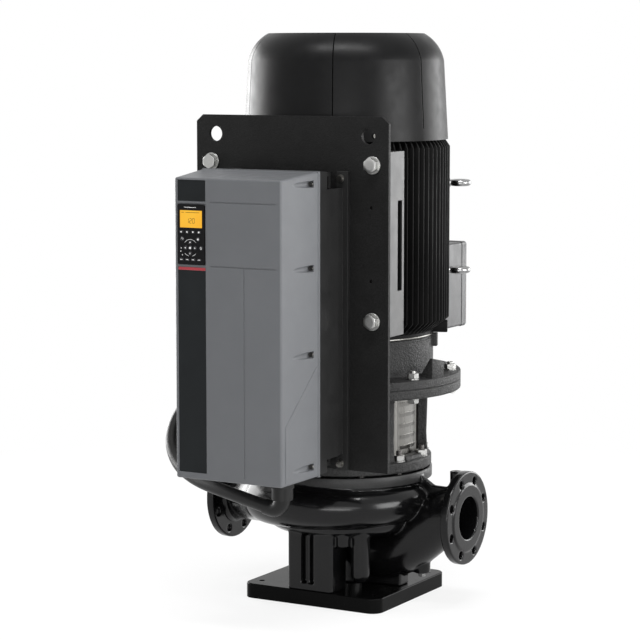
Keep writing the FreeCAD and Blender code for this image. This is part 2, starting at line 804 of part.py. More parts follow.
def make_motor_frame():
    """A finned tube: the star section is drawn once, then its ends are trimmed by a turned outline."""
    pitch = 360.0 / fin_count
    points = []
    for i in range(fin_count):
        for radius, side in ((fin_root_radius, -1), (fin_radius, -1), (fin_radius, 1), (fin_root_radius, 1)):
            a = math.radians(i * pitch) + side * math.asin(fin_thickness / 2 / radius)
            points.append(V(radius * math.cos(a), radius * math.sin(a), neck_top))
    star = Part.Face(Part.makePolygon(points + points[:1])).extrude(V(0, 0, frame_top - neck_top))
    root = fin_root_radius - 6
    trim = revolved([(0, neck_top), (root, neck_top), (root, neck_top + 13), (fin_radius + 1, neck_top + 43),
                     (fin_radius + 1, frame_top - 21), (fin_root_radius + 16, frame_top), (0, frame_top)])
    body = star.common(trim)
    pads = []
    face = plate_front - plate_thickness - bracket_depth
    for side in (-1, 1):
        for z in pad_heights:
            pads.append(block((side * (pad_x - pad_half), side * (pad_x + pad_half)), (-face, -face + 110),
                              (z - 24, z + 24)))
    box_seat = block((-terminal_half + 25, terminal_half - 25), (fin_root_radius - 60, terminal_seat),
                     (terminal_bottom + 25, terminal_bottom + terminal_height - 12))
    foot = block((fin_root_radius - 14, fin_radius - 3), (-9, 9), (neck_top + 5, neck_top + 34))
    eyes = [turned(cylinder(15, z - 15, z + 15, eye_circle + 16), a)
            for z in eye_heights for a in eye_angles()]
    body = joined([body] + pads + [box_seat] + [turned(foot, a) for a in (24, 156)] + eyes)
    behind_box = block((-terminal_half - 2, terminal_half + 2), (terminal_seat, fin_radius + 10),
                       (terminal_bottom - 4, terminal_bottom + terminal_height + 4))
    bore = cylinder(frame_bore, neck_top - 1, frame_top + 1)
    return body.cut([bore, behind_box] + eye_sockets() + bracket_screw_holes())


def eye_angles():
    return (eye_angle, 180 - eye_angle)


def eye_sockets():
    socket = rod(eye_shank_radius + clear, (eye_circle - 14, 0, 0), (eye_circle + 40, 0, 0))
    return [turned(moved(socket, 0, 0, z), a) for z in eye_heights for a in eye_angles()]


def make_lifting_eyes():
    """Eye bolts: shank, collar and a ring that lies level."""
    start = eye_circle + 31
    centre = start + 8 + eye_ring_radius
    ring = Part.makeTorus(eye_ring_radius - eye_bar_radius, eye_bar_radius, V(centre, 0, 0))
    collar = Part.makeCone(14, eye_bar_radius + 3, 9, V(start, 0, 0), V(1, 0, 0))
    shank = rod(eye_shank_radius, (eye_circle - 12, 0, 0), (start + 1, 0, 0))
    eye = joined([ring, collar, shank])
    return [turned(moved(eye, 0, 0, z), a) for z in eye_heights for a in eye_angles()]


def stator_low():
    return (neck_top + frame_top - stator_length) / 2 + 4


def make_stator_core():
    return tube(frame_bore - fit, stator_bore, stator_low(), stator_low() + stator_length)


def make_stator_windings():
    inner, outer = stator_bore + 6, frame_bore - 16
    lower = revolved([(inner, stator_low() - winding_length), (outer - 8, stator_low() - winding_length),
                      (outer, stator_low() - winding_length + 8), (outer, stator_low()),
                      (inner, stator_low())])
    upper = turned(moved(lower, 0, 0, -stator_low()), 180, (0, 0, 0), (1, 0, 0))
    return [lower, moved(upper, 0, 0, stator_low() + stator_length)]


def rear_bearing_low():
    return frame_top - 26


def make_rear_end_shield():
    seat = bearing_radius - 10 + fit
    low = rear_bearing_low()
    shield = revolved([(frame_bore - fit, frame_top - 12), (frame_bore - fit, frame_top),
                     (fin_root_radius + 14, frame_top), (fan_cover_bottom_radius - 5, frame_top + 4),
                     (fan_cover_bottom_radius - 5, frame_top + rear_shield), (120, frame_top + rear_shield),
                     (100, low + bearing_width + 8), (motor_shaft_radius + 2, low + bearing_width + 8),
                     (motor_shaft_radius + 2, low + bearing_width), (seat, low + bearing_width), (seat, low),
                     (seat + 14, low), (120, frame_top - 12)])
    return shield.cut(cover_screw_holes())


def bearing_race(outer, inner, low):
    groove = Part.makeTorus((outer + inner) / 2, bearing_ball_radius + 0.3, V(0, 0, low + bearing_width / 2))
    return groove, tube(outer, inner, low, low + bearing_width)


def bearing_places():
    return ((bearing_radius, motor_shaft_radius, shield_hub()),
            (bearing_radius - 10, motor_shaft_radius - 6, rear_bearing_low()))


def make_bearing_outer_rings():
    rings = []
    for outer, inner, low in bearing_places():
        groove, ring = bearing_race(outer, inner, low)
        rings.append(ring.cut([cylinder(outer - race_wall, low - 1, low + bearing_width + 1), groove]))
    return rings


def make_bearing_inner_rings():
    rings = []
    for outer, inner, low in bearing_places():
        groove, _ = bearing_race(outer, inner, low)
        rings.append(tube(inner + fit + race_wall, inner + fit, low, low + bearing_width).cut(groove))
    return rings


def make_motor_shaft():
    r = motor_shaft_radius
    top = stator_low() + stator_length
    fan_seat = frame_top + rear_shield
    shoulder = shield_hub() + bearing_width
    return joined([cylinder(r, coupling_middle() + 0.5, shoulder), cylinder(r + 8, shoulder, top + 20),
                   cylinder(r - 6, top + 20, fan_seat + 70)])


def make_rotor_core():
    low = stator_low()
    core = tube(stator_bore - air_gap, motor_shaft_radius + 8 + fit, low, low + stator_length)
    end = tube(stator_bore - 6, stator_bore - 34, stator_low() - 16, stator_low())
    return joined([core, end, moved(end, 0, 0, stator_length + 16)])


def make_cooling_fan():
    low = frame_top + rear_shield + 26
    hub = tube(52, motor_shaft_radius - 6 + fit, low, low + 44)
    disc = tube(fan_radius - 40, 50, low, low + 5)
    blade = block((48, fan_radius), (-2, 2), (low, low + 62))
    return joined([hub, disc] + around(blade, fan_blades)).cut(cylinder(motor_shaft_radius - 6 + fit, low - 1,
                                                                       low + 80))


def cover_outline(inset):
    """Skirt, domed shoulder and flat top of the fan cover, moved inwards by an inset."""
    low, top = frame_top - 4, overall_height - inset
    crease = V(fan_cover_shoulder_radius - inset, 0, fan_cover_shoulder)
    dome = V(fan_cover_dome[0] - 0.7 * inset, 0, fan_cover_dome[1] - 0.7 * inset)
    edge = V(fan_cover_top_radius, 0, top)
    return [Part.makeLine(V(fan_cover_bottom_radius - inset, 0, low), crease),
            Part.Arc(crease, dome, edge).toShape(), Part.makeLine(edge, V(inlet_radius, 0, top))]


def cover_skin(outer_inset, inner_inset):
    """The layer of the fan cover between two insets, turned about the axis."""
    outer, inner = cover_outline(outer_inset), cover_outline(inner_inset)
    low = frame_top - 4
    top_join = Part.makeLine(V(inlet_radius, 0, overall_height - outer_inset),
                             V(inlet_radius, 0, overall_height - inner_inset))
    low_join = Part.makeLine(V(fan_cover_bottom_radius - inner_inset, 0, low),
                             V(fan_cover_bottom_radius - outer_inset, 0, low))
    wire = Part.Wire(outer + [top_join] + inner[::-1] + [low_join])
    return Part.Face(wire).revolve(V(0, 0, 0), Z_AXIS, 360)


def make_fan_cover():
    """A drawn sheet cover with a domed shoulder, thin grooves and an air inlet of rings and spokes."""
    shell = cover_skin(0, fan_cover_sheet)
    low_face = overall_height - fan_cover_sheet
    rings = [tube(r + 5, r - 5, low_face, overall_height) for r in (25, 64, 103)]
    spokes = [turned(block((22, inlet_radius + 6), (-4, 4), (low_face, overall_height)), 60 * i)
              for i in range(6)]
    half = fan_cover_groove / 2
    strip = block((fan_cover_top_radius - 3, fan_cover_bottom_radius + 5), (-half, half),
                  (fan_cover_groove_low, overall_height + 5))
    groove = cover_skin(-1.0, 0.9).common(strip)
    grooves = [turned(groove, a) for a in fan_cover_groove_angles]
    return joined([shell] + rings + spokes).cut(cover_screw_holes() + grooves)


def cover_screw_holes():
    hole = rod(3.3, (fan_cover_bottom_radius - 14, 0, cover_screw_level()),
               (fan_cover_bottom_radius + 10, 0, cover_screw_level()))
    return around(hole, 4, 45)


def cover_screw_level():
    return frame_top + rear_shield / 2 + 2


# Terminal box

def make_terminal_box():
    x = (-terminal_half, terminal_half)
    box = block(x, (terminal_seat, terminal_face), (terminal_bottom, terminal_bottom + terminal_height))
    along = [e for e in box.Edges if abs(e.tangentAt(e.FirstParameter).y) > 0.99]
    box = box.makeFillet(terminal_corner, along)
    hollow = block((x[0] + 6, x[1] - 6), (terminal_seat + 8, terminal_face + 1),
                   (terminal_bottom + 6, terminal_bottom + terminal_height - 6))
    hole = cylinder(cable_radius + 1.5, terminal_bottom - 1, terminal_bottom + 20, terminal_gland_x,
                    terminal_gland_y)
    return box.cut([hollow, hole])


def lid_outline(inset, level):
    """The lid's outline with rounded corners, on the plane y = level."""
    solid = block((inset - terminal_half - 1, terminal_half + 1 - inset), (level, level + 5),
                  (terminal_bottom - 1 + inset, terminal_bottom + terminal_height + 1 - inset))
    along = [e for e in solid.Edges if abs(e.tangentAt(e.FirstParameter).y) > 0.99]
    solid = solid.makeFillet(terminal_corner, along)
    return [f for f in solid.Faces if f.BoundBox.YMax < level + 0.01][0].OuterWire


def make_terminal_lid():
    """A gently bulged lid: straight sides, then a rounded edge in three steps."""
    face, edge = terminal_face + terminal_lid, terminal_lid_edge
    levels = [(0, terminal_face), (0, face - edge), (0.12 * edge, face - 0.5 * edge),
              (0.45 * edge, face - 0.15 * edge), (edge, face)]
    lid = Part.makeLoft([lid_outline(i, y) for i, y in levels], True, True)
    inner = block((-terminal_half + 8, terminal_half - 8), (terminal_face - 1, face - edge),
                  (terminal_bottom + 8, terminal_bottom + terminal_height - 8))
    return lid.cut(inner)


def make_terminal_gland():
    x, y, top = terminal_gland_x, terminal_gland_y, terminal_bottom
    low = top - terminal_gland_length
    body = joined([hexagon(50, 13, x, y, top - 13), cylinder(21, low + 8, top - 12, x, y),
                   Part.makeCone(17.5, 21, 9, V(x, y, low))])
    return body.cut(cylinder(cable_radius + fit, low - 1, low + 14, x, y))


# Back plate, brackets and their screws

def make_drive_plate():
    half, t = plate_half, plate_thickness
    outline = [(-half, plate_bottom), (half, plate_bottom), (half, plate_top - plate_chamfer_z),
               (half - plate_chamfer_x, plate_top), (plate_chamfer_x - half, plate_top),
               (-half, plate_top - plate_chamfer_z)]
    wire = Part.makePolygon([V(x, -plate_front, z) for x, z in outline + outline[:1]])
    plate = Part.Face(wire).extrude(V(0, t, 0))
    holes = [plate_hole(s * plate_eye_x, plate_eye_z, plate_eye_radius) for s in (-1, 1)]
    holes += [plate_hole(x, z, 10.5) for x, z in plate_screw_places()]
    holes += [plate_hole(s * (plate_screw_x - 3), z, 4.5) for s in (-1, 1) for z in (785, 950)]
    holes += [plate_hole(s * ear_x, z, 4.5) for s in (-1, 1) for z in ear_z]
    relief = block((-flange_relief, flange_relief), (-plate_front - 1, -plate_front + t + 1),
                   (stool_top() - stool_top_flange - 6, flange_level() + 18))
    return plate.cut(holes + [relief])


def plate_hole(x, z, radius):
    return rod(radius, (x, -plate_front - 40, z), (x, -plate_front + 40, z))


def plate_screw_places():
    return [(s * plate_screw_x, z) for s in (-1, 1) for z in plate_screw_z]


def bracket_screw_holes():
    face = plate_front - plate_thickness - bracket_depth
    return [rod(8 + clear, (s * pad_x, -face - 30, z), (s * pad_x, -face + 22, z)) for s in (-1, 1)
            for z in pad_heights]


def make_bracket(side):
    """A channel between the back plate and the motor pads, open towards the middle."""
    back = plate_front - plate_thickness
    t = bracket_sheet
    level = (bracket_bottom, bracket_top)
    web = block((bracket_half - t, bracket_half), (-back, -back + bracket_depth), level)
    front_leg = block((bracket_half - bracket_front_leg, bracket_half), (-back, -back + t), level)
    rear_leg = block((bracket_half - bracket_rear_leg, bracket_half),
                     (-back + bracket_depth - t, -back + bracket_depth), level)
    channel = joined([web, front_leg, rear_leg])
    corner = [e for e in channel.Edges if e.Length > 400 and abs(e.Vertexes[0].X - bracket_half) < 0.01]
    channel = channel.makeFillet(4.0, corner)
    middle = -back + 0.69 * bracket_depth
    slot_half = bracket_slot_width / 2
    slot = block((bracket_half - 20, bracket_half + 10), (middle - slot_half, middle + slot_half),
                 bracket_slot)
    across = [e for e in slot.Edges if abs(e.tangentAt(e.FirstParameter).x) > 0.99]
    cuts = [slot.makeFillet(3.0, across)] + bracket_screw_holes()
    cuts += [plate_hole(plate_screw_x, z, 10.5) for z in plate_screw_z]
    shape = channel.cut(cuts)
    if side < 0:
        shape = shape.mirror(V(0, 0, 0), V(1, 0, 0))
    return shape


def make_plate_screws():
    """Hex screws with washers: four through the plate, two from each bracket into the motor pads."""
    screws = []
    back = plate_front - plate_thickness - bracket_sheet
    for x, z in plate_screw_places():
        piece = joined([cylinder(20, 0, 3), hexagon(30, 12.5, 0, 0, 3),
                        cylinder(10, -(plate_front - back) - 14, 4),
                        hexagon(30, 14, 0, 0, -(plate_front - back) - 14)])
        screws.append(front_piece(piece, x, plate_front, z))
    face = plate_front - plate_thickness - bracket_depth + bracket_sheet
    for side in (-1, 1):
        for z in pad_heights:
            piece = joined([cylinder(15, 0, 2.5), hexagon(24, 10, 0, 0, 2.5),
                            cylinder(8, -bracket_sheet - 18, 4)])
            screws.append(front_piece(piece, side * pad_x, face, z))
    return screws


# Drive

def frustum(front, rim):
    """A tapered box between two rectangles (half width, bottom, top, distance in front of the axis)."""
    wires = []
    for half, low, high, face in (front, rim):
        corners = [(-half, low), (half, low), (half, high), (-half, high), (-half, low)]
        wires.append(Part.makePolygon([V(x, -face, z) for x, z in corners]))
    return Part.makeLoft(wires, True, True)


def make_drive_cover():
    """The front cover: a tapered moulded shell with a lip, a panel recess and shallow steps."""
    front = (drive_half, drive_bottom, drive_top, drive_face)
    rim_face = drive_rim_face + drive_rim_lip
    rim = (drive_rim_half, drive_rim_bottom, drive_rim_top, rim_face)
    outer = frustum(front, rim)
    edges = [e for e in outer.Edges if abs(e.tangentAt(e.FirstParameter).y) > 0.9
             or e.BoundBox.YMax < 0.1 - drive_face]
    outer = outer.makeFillet(drive_edge_radius, edges)
    lip = block((-drive_rim_half - 1, drive_rim_half + 1), (-rim_face, -drive_rim_face),
                (drive_rim_bottom - 1, drive_rim_top + 1))
    t = drive_wall
    bands = [drive_side_band(side) for side in (-1, 1)]
    inner = frustum((drive_half - t, drive_bottom + t, drive_top - t, drive_face - t),
                    (drive_rim_half - t, drive_rim_bottom + t, drive_rim_top - t, drive_rim_face - 1))
    solid = outer.fuse(lip)
    bosses = [b.common(solid) for x, z in cover_screw_places() for b in drive_screw_pocket(x, z, 3.5)]
    cuts = []
    cuts.append(block((strip_left, strip_right), (-drive_face - 1, -drive_face + strip_depth),
                      (drive_bottom + 15, drive_top - 4)))
    groove = 1.2
    for z in (panel_bottom - 2, drive_top - 52):
        cuts.append(block((strip_right + 12, drive_half - 14), (-drive_face - 1, -drive_face + groove),
                          (z - 1.5, z + 1.5)))
    cuts.append(block((41, 44), (-drive_face - 1, -drive_face + groove),
                      (drive_bottom + 12, panel_bottom - 3)))
    for x, z in cover_screw_places():
        cuts += drive_screw_pocket(x, z, 0)
        cuts.append(rod(3.2, (x, -drive_rim_face - 30, z), (x, -drive_rim_face + 1, z)))
    gland_hole = cylinder(gland_radius - 3, drive_bottom - 2, drive_bottom + 20, gland_x, gland_y)
    return solid.cut(inner).fuse(bosses + bands).cut(cuts + [gland_hole])


def cover_screw_places():
    x = drive_rim_half - 7.0
    return [(s * x, z) for s in (-1, 1) for z in (382.0, 633.0, 824.0, 1009.0)]


def drive_screw_pocket(x, z, wall):
    """The long round pocket that runs out of the cover's side in front of a screw, grown by a wall."""
    side = 1 if x > 0 else -1
    seat = -drive_rim_face if wall else -drive_rim_face - 24
    axis = side * (drive_rim_half - 1.5)
    front = -drive_face - 2 if not wall else -drive_face + 12
    long_run = rod(screw_pocket_radius + wall, (axis, front, z), (axis, seat, z))
    seat_run = rod(screw_seat_radius + wall, (x, -drive_rim_face - 42 - wall, z), (x, seat, z))
    return [long_run, seat_run]


def drive_side_band(side):
    """A thin raised band on the cover's side: it slopes to the front, then runs straight down."""
    run = [(-drive_rim_face - 10, 609), (-drive_face + 14, 484), (-drive_face + 14, drive_bottom + 8),
           (-drive_face + 22, drive_bottom + 8), (-drive_face + 22, 480), (-drive_rim_face - 10, 597)]
    outline = Part.Face(Part.makePolygon([V(0, y, z) for y, z in run + run[:1]]))
    prism = outline.extrude(V(drive_rim_half + 9, 0, 0))
    grown = frustum((drive_half + 1, drive_bottom, drive_top, drive_face),
                    (drive_rim_half + 1, drive_rim_bottom, drive_rim_top, drive_rim_face + drive_rim_lip))
    core = frustum((drive_half - 1.5, drive_bottom - 5, drive_top + 5, drive_face + 1),
                   (drive_rim_half - 1.5, drive_rim_bottom - 5, drive_rim_top + 5, drive_rim_face))
    band = prism.common(grown).cut(core)
    return band if side > 0 else band.mirror(V(0, 0, 0), V(1, 0, 0))


def make_drive_housing():
    """The rear half: a cooled casting with a wall flange, open pockets at its four ears."""
    low, high = drive_rim_bottom + housing_inset, drive_rim_top - housing_inset
    face = drive_rim_face - 0.2
    back = plate_front
    body = block((-housing_half, housing_half), (-face, -back), (low, high))
    flange = block((-wall_flange_half, wall_flange_half), (-back - wall_flange_thickness, -back),
                   (plate_bottom + 0.5, drive_rim_top - 4))
    step = block((-housing_half - 5, housing_half + 5), (-face, -face + housing_step), (low - 3, high + 3))
    body = joined([body, flange, step])
    wall = 9
    hollow = block((-housing_half + wall, housing_half - wall), (-face - 1, -back - duct_depth - wall),
                   (low + wall, high - wall))
    duct = block((-duct_half, duct_half), (-back - duct_depth, -back + 1), (low - 20, high + 20))
    cuts = [hollow, duct]
    for side in (-1, 1):
        for z in ear_z:
            cuts.append(block((side * (ear_x - ear_pocket), side * (wall_flange_half + 1)),
                              (-face + 40, -back - wall_flange_thickness), (z - 22, z + 22)))
            cuts.append(plate_hole(side * ear_x, z, 4.5))
    for x, z in cover_screw_places():
        cuts.append(rod(2.8, (x, -face - 1, z), (x, -face + 24, z)))
    return body.cut(cuts)


def make_cover_screws():
    """Small screws: cover to housing, ears to plate, terminal lid and fan cover."""
    screws = []
    for x, z in cover_screw_places():
        piece = joined([cylinder(5.2, 0, 4.5), cylinder(2.6, -46, 1)])
        screws.append(front_piece(piece, x, drive_rim_face + 24, z))
    for side in (-1, 1):
        for z in ear_z:
            shank = cylinder(4.2, -wall_flange_thickness - 8, 1)
            piece = joined([cylinder(9, 0, 2), cylinder(7, 2, 9), shank])
            screws.append(front_piece(piece, side * ear_x, plate_front + wall_flange_thickness, z))
    for side in (-1, 1):
        for up in (22, terminal_height - 22):
            x, z = side * (terminal_half - 22), terminal_bottom + up
            face = terminal_face + terminal_lid
            screws.append(rod(5.5, (x, face, z), (x, face + 3, z)))
    head = joined([cylinder(5.5, 0, 4), cylinder(3, -5, 1)])
    head = moved(turned(head, 90, (0, 0, 0), (0, 1, 0)), fan_cover_bottom_radius, 0, cover_screw_level())
    screws += around(head, 4, 45)
    return screws


def key_list():
    """Name, place and outline of each key: bar keys, round keys and arrow keys about the centre key."""
    keys = []
    for i in range(4):
        x = -117.0 + 15.3 * i
        keys.append(("key_menu_%d" % (i + 1), x, 903.0, "bar"))
        keys.append(("key_run_%d" % (i + 1), x, 842.0, "bar"))
    keys += [("key_back", -114.5, 887.5, "round"), ("key_cancel", -73.5, 887.5, "round"),
             ("key_info", -65.5, 868.0, "round"), ("key_ok", key_ring_x, key_ring_z, "round")]
    for name, dx, dz in (("up", 0, 1), ("down", 0, -1), ("left", -1, 0), ("right", 1, 0)):
        keys.append(("key_" + name, key_ring_x + 12.2 * dx, key_ring_z + 12.2 * dz, "arrow"))
    return keys


def key_prism(kind, grow, low, high):
    """The shape of a key or of its opening, drawn about the Z axis."""
    if kind == "bar":
        half_x, half_z = 5.2 + grow, 2.8 + grow
        return block((-half_x, half_x), (-half_z, half_z), (low, high))
    return cylinder({"round": 5.0, "arrow": 4.6}[kind] + grow, low, high)


def panel_face():
    return drive_face + panel_proud


def panel_depth():
    return panel_proud + strip_depth


def make_control_panel():
    margin = 1.5
    body = block((strip_left + margin, strip_right - margin), (-panel_face(), -panel_face() + panel_depth()),
                 (panel_bottom, panel_top))
    upright = [e for e in body.Edges if abs(e.tangentAt(e.FirstParameter).y) > 0.99]
    body = body.makeFillet(3.0, upright)
    glass = block((strip_left + display_margin + 1, strip_right - display_margin),
                  (-panel_face() - 1, -panel_face() + 1), (display_bottom, display_top))
    cuts = [glass]
    for _, x, z, kind in key_list():
        cuts.append(front_piece(key_prism(kind, key_gap, -panel_depth() - 1, 1), x, panel_face(), z))
    return body.cut(cuts)


def make_display_window():
    return block((strip_left + display_margin + 1 + fit, strip_right - display_margin - fit),
                 (-panel_face() - 0.4, -panel_face() + 1), (display_bottom + fit, display_top - fit))


def make_key(x, z, kind):
    depth = panel_depth() - key_travel - key_gap
    prism = key_prism(kind, 0, -depth, key_proud)
    top = [e for e in prism.Edges if e.BoundBox.ZMin > key_proud - 0.01]
    return front_piece(prism.makeChamfer(0.5, top), x, panel_face(), z)


# Motor cable

def cable_route():
    """Free cable from the elbow under the drive, round the plate's edge, up into the terminal box."""
    end = terminal_bottom - terminal_gland_length
    return [(-60, -424, 304), (-190, -378, 316), (-285, -318, 345), (-330, -262, 405), (-333, -188, 462),
            (-325, -85, 480), (-318, 20, 452), (-292, 120, 410), (-243, 194, 386), (-184, 240, 399),
            (-135, 272, 446), (terminal_gland_x, terminal_gland_y, 520),
            (terminal_gland_x, terminal_gland_y, end)]


def elbow_corner():
    return V(gland_x, gland_y, drive_bottom - gland_height - elbow_drop)


def elbow_end():
    out = V(*cable_route()[0]) - elbow_corner()
    out.normalize()
    return elbow_corner() + out * (elbow_radius * 1.75)


def make_drive_gland():
    """Gland body, union nut and a moulded elbow that turns the cable to the left."""
    top = drive_bottom + drive_wall
    low = drive_bottom - gland_height
    body = joined([hexagon(2 * gland_radius + 4, 12, gland_x, gland_y, drive_bottom - 14),
                   cylinder(gland_radius, low, drive_bottom - 13, gland_x, gland_y),
                   cylinder(gland_radius - 3 - clear, drive_bottom - 3, top + 8, gland_x, gland_y)])
    corner, end = elbow_corner(), elbow_end()
    elbow = bent_bar(V(gland_x, gland_y, low + 6), corner, end, elbow_radius, cable_radius + 2.5)
    bore = Part.makeCylinder(cable_radius + fit, 12, end + (corner - end).normalize() * 10, end - corner)
    return joined([body, elbow]).cut(bore)


def make_motor_cable():
    corner, end = elbow_corner(), elbow_end()
    start = end + (corner - end).normalize() * 10
    last = cable_route()[-1]
    top = (last[0], last[1], last[2] + 12)
    points = [tuple(start)] + cable_route()[:-1] + [top]
    wire, radii = bend_points(points)
    print("motor cable: length %.0f, radii %s" % (wire.Length, [round(r) for r in radii]))
    cable = swept(wire, cable_radius)
    print("cable volume against section times length: %.4f"
          % (cable.Volume / (math.pi * cable_radius ** 2 * wire.Length)))
    return cable


def model():
    parts = {
        "base_plate": make_base_plate(), "foot_screws": make_foot_screws(),
        "pump_housing": make_pump_housing(), "housing_plugs": make_housing_plugs(),
        "wear_ring": make_wear_ring(), "pump_cover": make_pump_cover(), "cover_gasket": make_cover_gasket(),
        "housing_studs": make_housing_studs(), "seal_stationary": make_seal_stationary(),
        "seal_rotating": make_seal_rotating(), "impeller": make_impeller(),
        "impeller_nut": make_impeller_nut(), "pump_shaft": make_pump_shaft(),
        "motor_stool": make_motor_stool(), "coupling_guards": make_coupling_guards(),
        "coupling_halves": make_coupling_halves(), "coupling_screws": make_coupling_screws(),
        "drive_end_shield": make_drive_end_shield(), "flange_screws": make_flange_screws(),
        "motor_frame": make_motor_frame(), "lifting_eyes": make_lifting_eyes(),
        "stator_core": make_stator_core(), "stator_windings": make_stator_windings(),
        "rear_end_shield": make_rear_end_shield(), "bearing_outer_rings": make_bearing_outer_rings(),
        "bearing_inner_rings": make_bearing_inner_rings(), "motor_shaft": make_motor_shaft(),
        "rotor_core": make_rotor_core(), "cooling_fan": make_cooling_fan(), "fan_cover": make_fan_cover(),
        "terminal_box": make_terminal_box(), "terminal_lid": make_terminal_lid(),
        "terminal_gland": make_terminal_gland(), "drive_plate": make_drive_plate(),
        "plate_bracket_right": make_bracket(1), "plate_bracket_left": make_bracket(-1),
        "plate_screws": make_plate_screws(), "drive_housing": make_drive_housing(),
        "drive_cover": make_drive_cover(), "cover_screws": make_cover_screws(),
        "control_panel": make_control_panel(), "display_window": make_display_window(),
        "drive_gland": make_drive_gland(), "motor_cable": make_motor_cable(),
    }
    for name, x, z, kind in key_list():
        parts[name] = make_key(x, z, kind)
    return parts


os.makedirs("parts", exist_ok=True)
for node, made in model().items():
    shape = Part.makeCompound(made) if isinstance(made, list) else made
    shape.exportStep(os.path.join("parts", node + ".step"))
    box = shape.BoundBox
    print("%-20s solids %2d valid %s volume %9.0f  x %.0f %.0f  y %.0f %.0f  z %.0f %.0f" % (
        node, len(shape.Solids), shape.isValid(), shape.Volume, box.XMin, box.XMax, box.YMin, box.YMax,
        box.ZMin, box.ZMax))
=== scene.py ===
# %% [markdown]
# # Dressing an inline pump
#
# The CAD solids give every size. This lesson lights them, gives each one a finish made of nodes, and
# replaces the plain ones by meshes with cast blends, threads and moulded detail. Objects are placed in
# metres; shapes are drawn in millimetres, times MM. +Z is up, -Y is the side of the drive, +X is the
# suction side.

# %% Load the frame
import json
import math

import bmesh
import bpy
from mathutils import Matrix, Vector


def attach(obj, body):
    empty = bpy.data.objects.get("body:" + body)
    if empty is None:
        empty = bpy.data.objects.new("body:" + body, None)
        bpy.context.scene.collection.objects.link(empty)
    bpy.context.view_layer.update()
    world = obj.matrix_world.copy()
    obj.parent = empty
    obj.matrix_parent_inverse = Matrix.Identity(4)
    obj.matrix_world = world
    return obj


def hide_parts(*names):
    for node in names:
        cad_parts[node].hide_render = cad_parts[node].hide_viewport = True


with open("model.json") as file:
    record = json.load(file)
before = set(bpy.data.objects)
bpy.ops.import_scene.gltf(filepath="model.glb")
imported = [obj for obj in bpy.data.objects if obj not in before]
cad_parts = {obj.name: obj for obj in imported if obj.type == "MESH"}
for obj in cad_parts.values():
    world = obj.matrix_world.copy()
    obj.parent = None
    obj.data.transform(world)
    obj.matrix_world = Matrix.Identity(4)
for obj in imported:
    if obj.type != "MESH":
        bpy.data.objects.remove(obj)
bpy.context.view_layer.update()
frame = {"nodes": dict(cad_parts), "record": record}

scene = bpy.context.scene
nodes = frame["nodes"]
MM = 0.001


def new_object(name, data):
    made = bpy.data.objects.new(name, data)
    scene.collection.objects.link(made)
    return made


# %% [markdown]
# ## The camera
#
# A photograph's viewpoint can be found by hand or by fitting known points. Here it was fitted: the pump
# flanges, the plate and the fan cover are known sizes, so the place and the lens follow from them.
# A Blender camera looks along its own -Z, so a level camera is turned 90 degrees about X first.

# %% Camera
camera_data = bpy.data.cameras.new("camera")
camera = new_object("camera", camera_data)
camera_data.sensor_width = 36.0
camera_data.lens = 128.67
camera_pitch, camera_yaw = -0.1154, 0.5192
camera.location = (2.6419, -4.7472, 1.2897)
camera.rotation_euler = (math.pi / 2 + camera_pitch, 0.0, camera_yaw)
scene.camera = camera
print("camera at", [round(v, 2) for v in camera.location], "lens", round(camera_data.lens, 1))

# %% [markdown]
# ## The motor cable
#
# A power cable is a round rubber sheath that bends in wide curves. A NURBS curve suits it: a few control
# points give one smooth line, and the curve's round bevel gives the sheath. The points are the route of
# the CAD tube, in millimetres. The order is set after the points, because a spline with too few points
# drops to order 2. The bevel is 1 m deep and each point's radius scales it down, so that the box of the
# curve, which counts the points' radii, is right too.

# %% Cable
cable_radius = 0.015
cable_route = [(52.1, -443.4, 285.8), (-60, -424, 304), (-190, -378, 316), (-285, -318, 345),
               (-330, -262, 405), (-332, -188, 462), (-325, -85, 480), (-318, 20, 452), (-292, 120, 410),
               (-243, 194, 386), (-184, 240, 399), (-135, 272, 446), (-102, 290, 520), (-102, 290, 593)]


def round_bar_along(name, points, radius):
    """A round bar along a smooth spline with these control points, in millimetres."""
    data = bpy.data.curves.new(name, "CURVE")
    data.dimensions = "3D"
    data.bevel_depth = 1.0
    data.bevel_resolution = 6
    data.resolution_u = 12
    data.use_fill_caps = True
    spline = data.splines.new("NURBS")
    spline.points.add(len(points) - 1)
    for point, place in zip(spline.points, points):
        point.co = (place[0] * MM, place[1] * MM, place[2] * MM, 1.0)
        point.radius = radius
    spline.order_u = 3
    spline.use_endpoint_u = True
    return new_object(name, data), spline


cable, cable_spline = round_bar_along("cable_sheath", cable_route, cable_radius)
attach(cable, "root")
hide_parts("motor_cable")

# %% [markdown]
# ## Nodes in one call
#
# Every finish is a small network. One helper fills a node's sockets, with constants or with links, and
# another makes the node first.

# %% Helpers for shader nodes
def new_material(name):
    made = bpy.data.materials.new(name)
    made.use_nodes = True
    tree = made.node_tree
    return made, tree, tree.nodes["Principled BSDF"], tree.nodes["Material Output"]


def fill(tree, node, sockets):
    """Give inputs, by name or number, a value or another node's socket."""
    for name, value in dict(sockets).items():
        if isinstance(value, bpy.types.NodeSocket):
            tree.links.new(value, node.inputs[name])
        else:
            node.inputs[name].default_value = value
    return node


def add_node(tree, kind, sockets=(), **properties):
    node = tree.nodes.new("ShaderNode" + kind)
    for name, value in properties.items():
        setattr(node, name, value)
    return fill(tree, node, sockets)


def calculated(tree, operation, *values):
    """The result of a Math node."""
    return add_node(tree, "Math", enumerate(values), operation=operation).outputs[0]


def spread(tree, value, low, high, to_low=0.0, to_high=1.0):
    """Map one range of a socket's values onto another, and hold it at the ends."""
    return add_node(tree, "MapRange", {"Value": value, "From Min": low, "From Max": high,
                                       "To Min": to_low, "To Max": to_high}).outputs[0]


def object_place(tree):
    return add_node(tree, "TexCoord").outputs["Object"]


print("node helpers are ready")

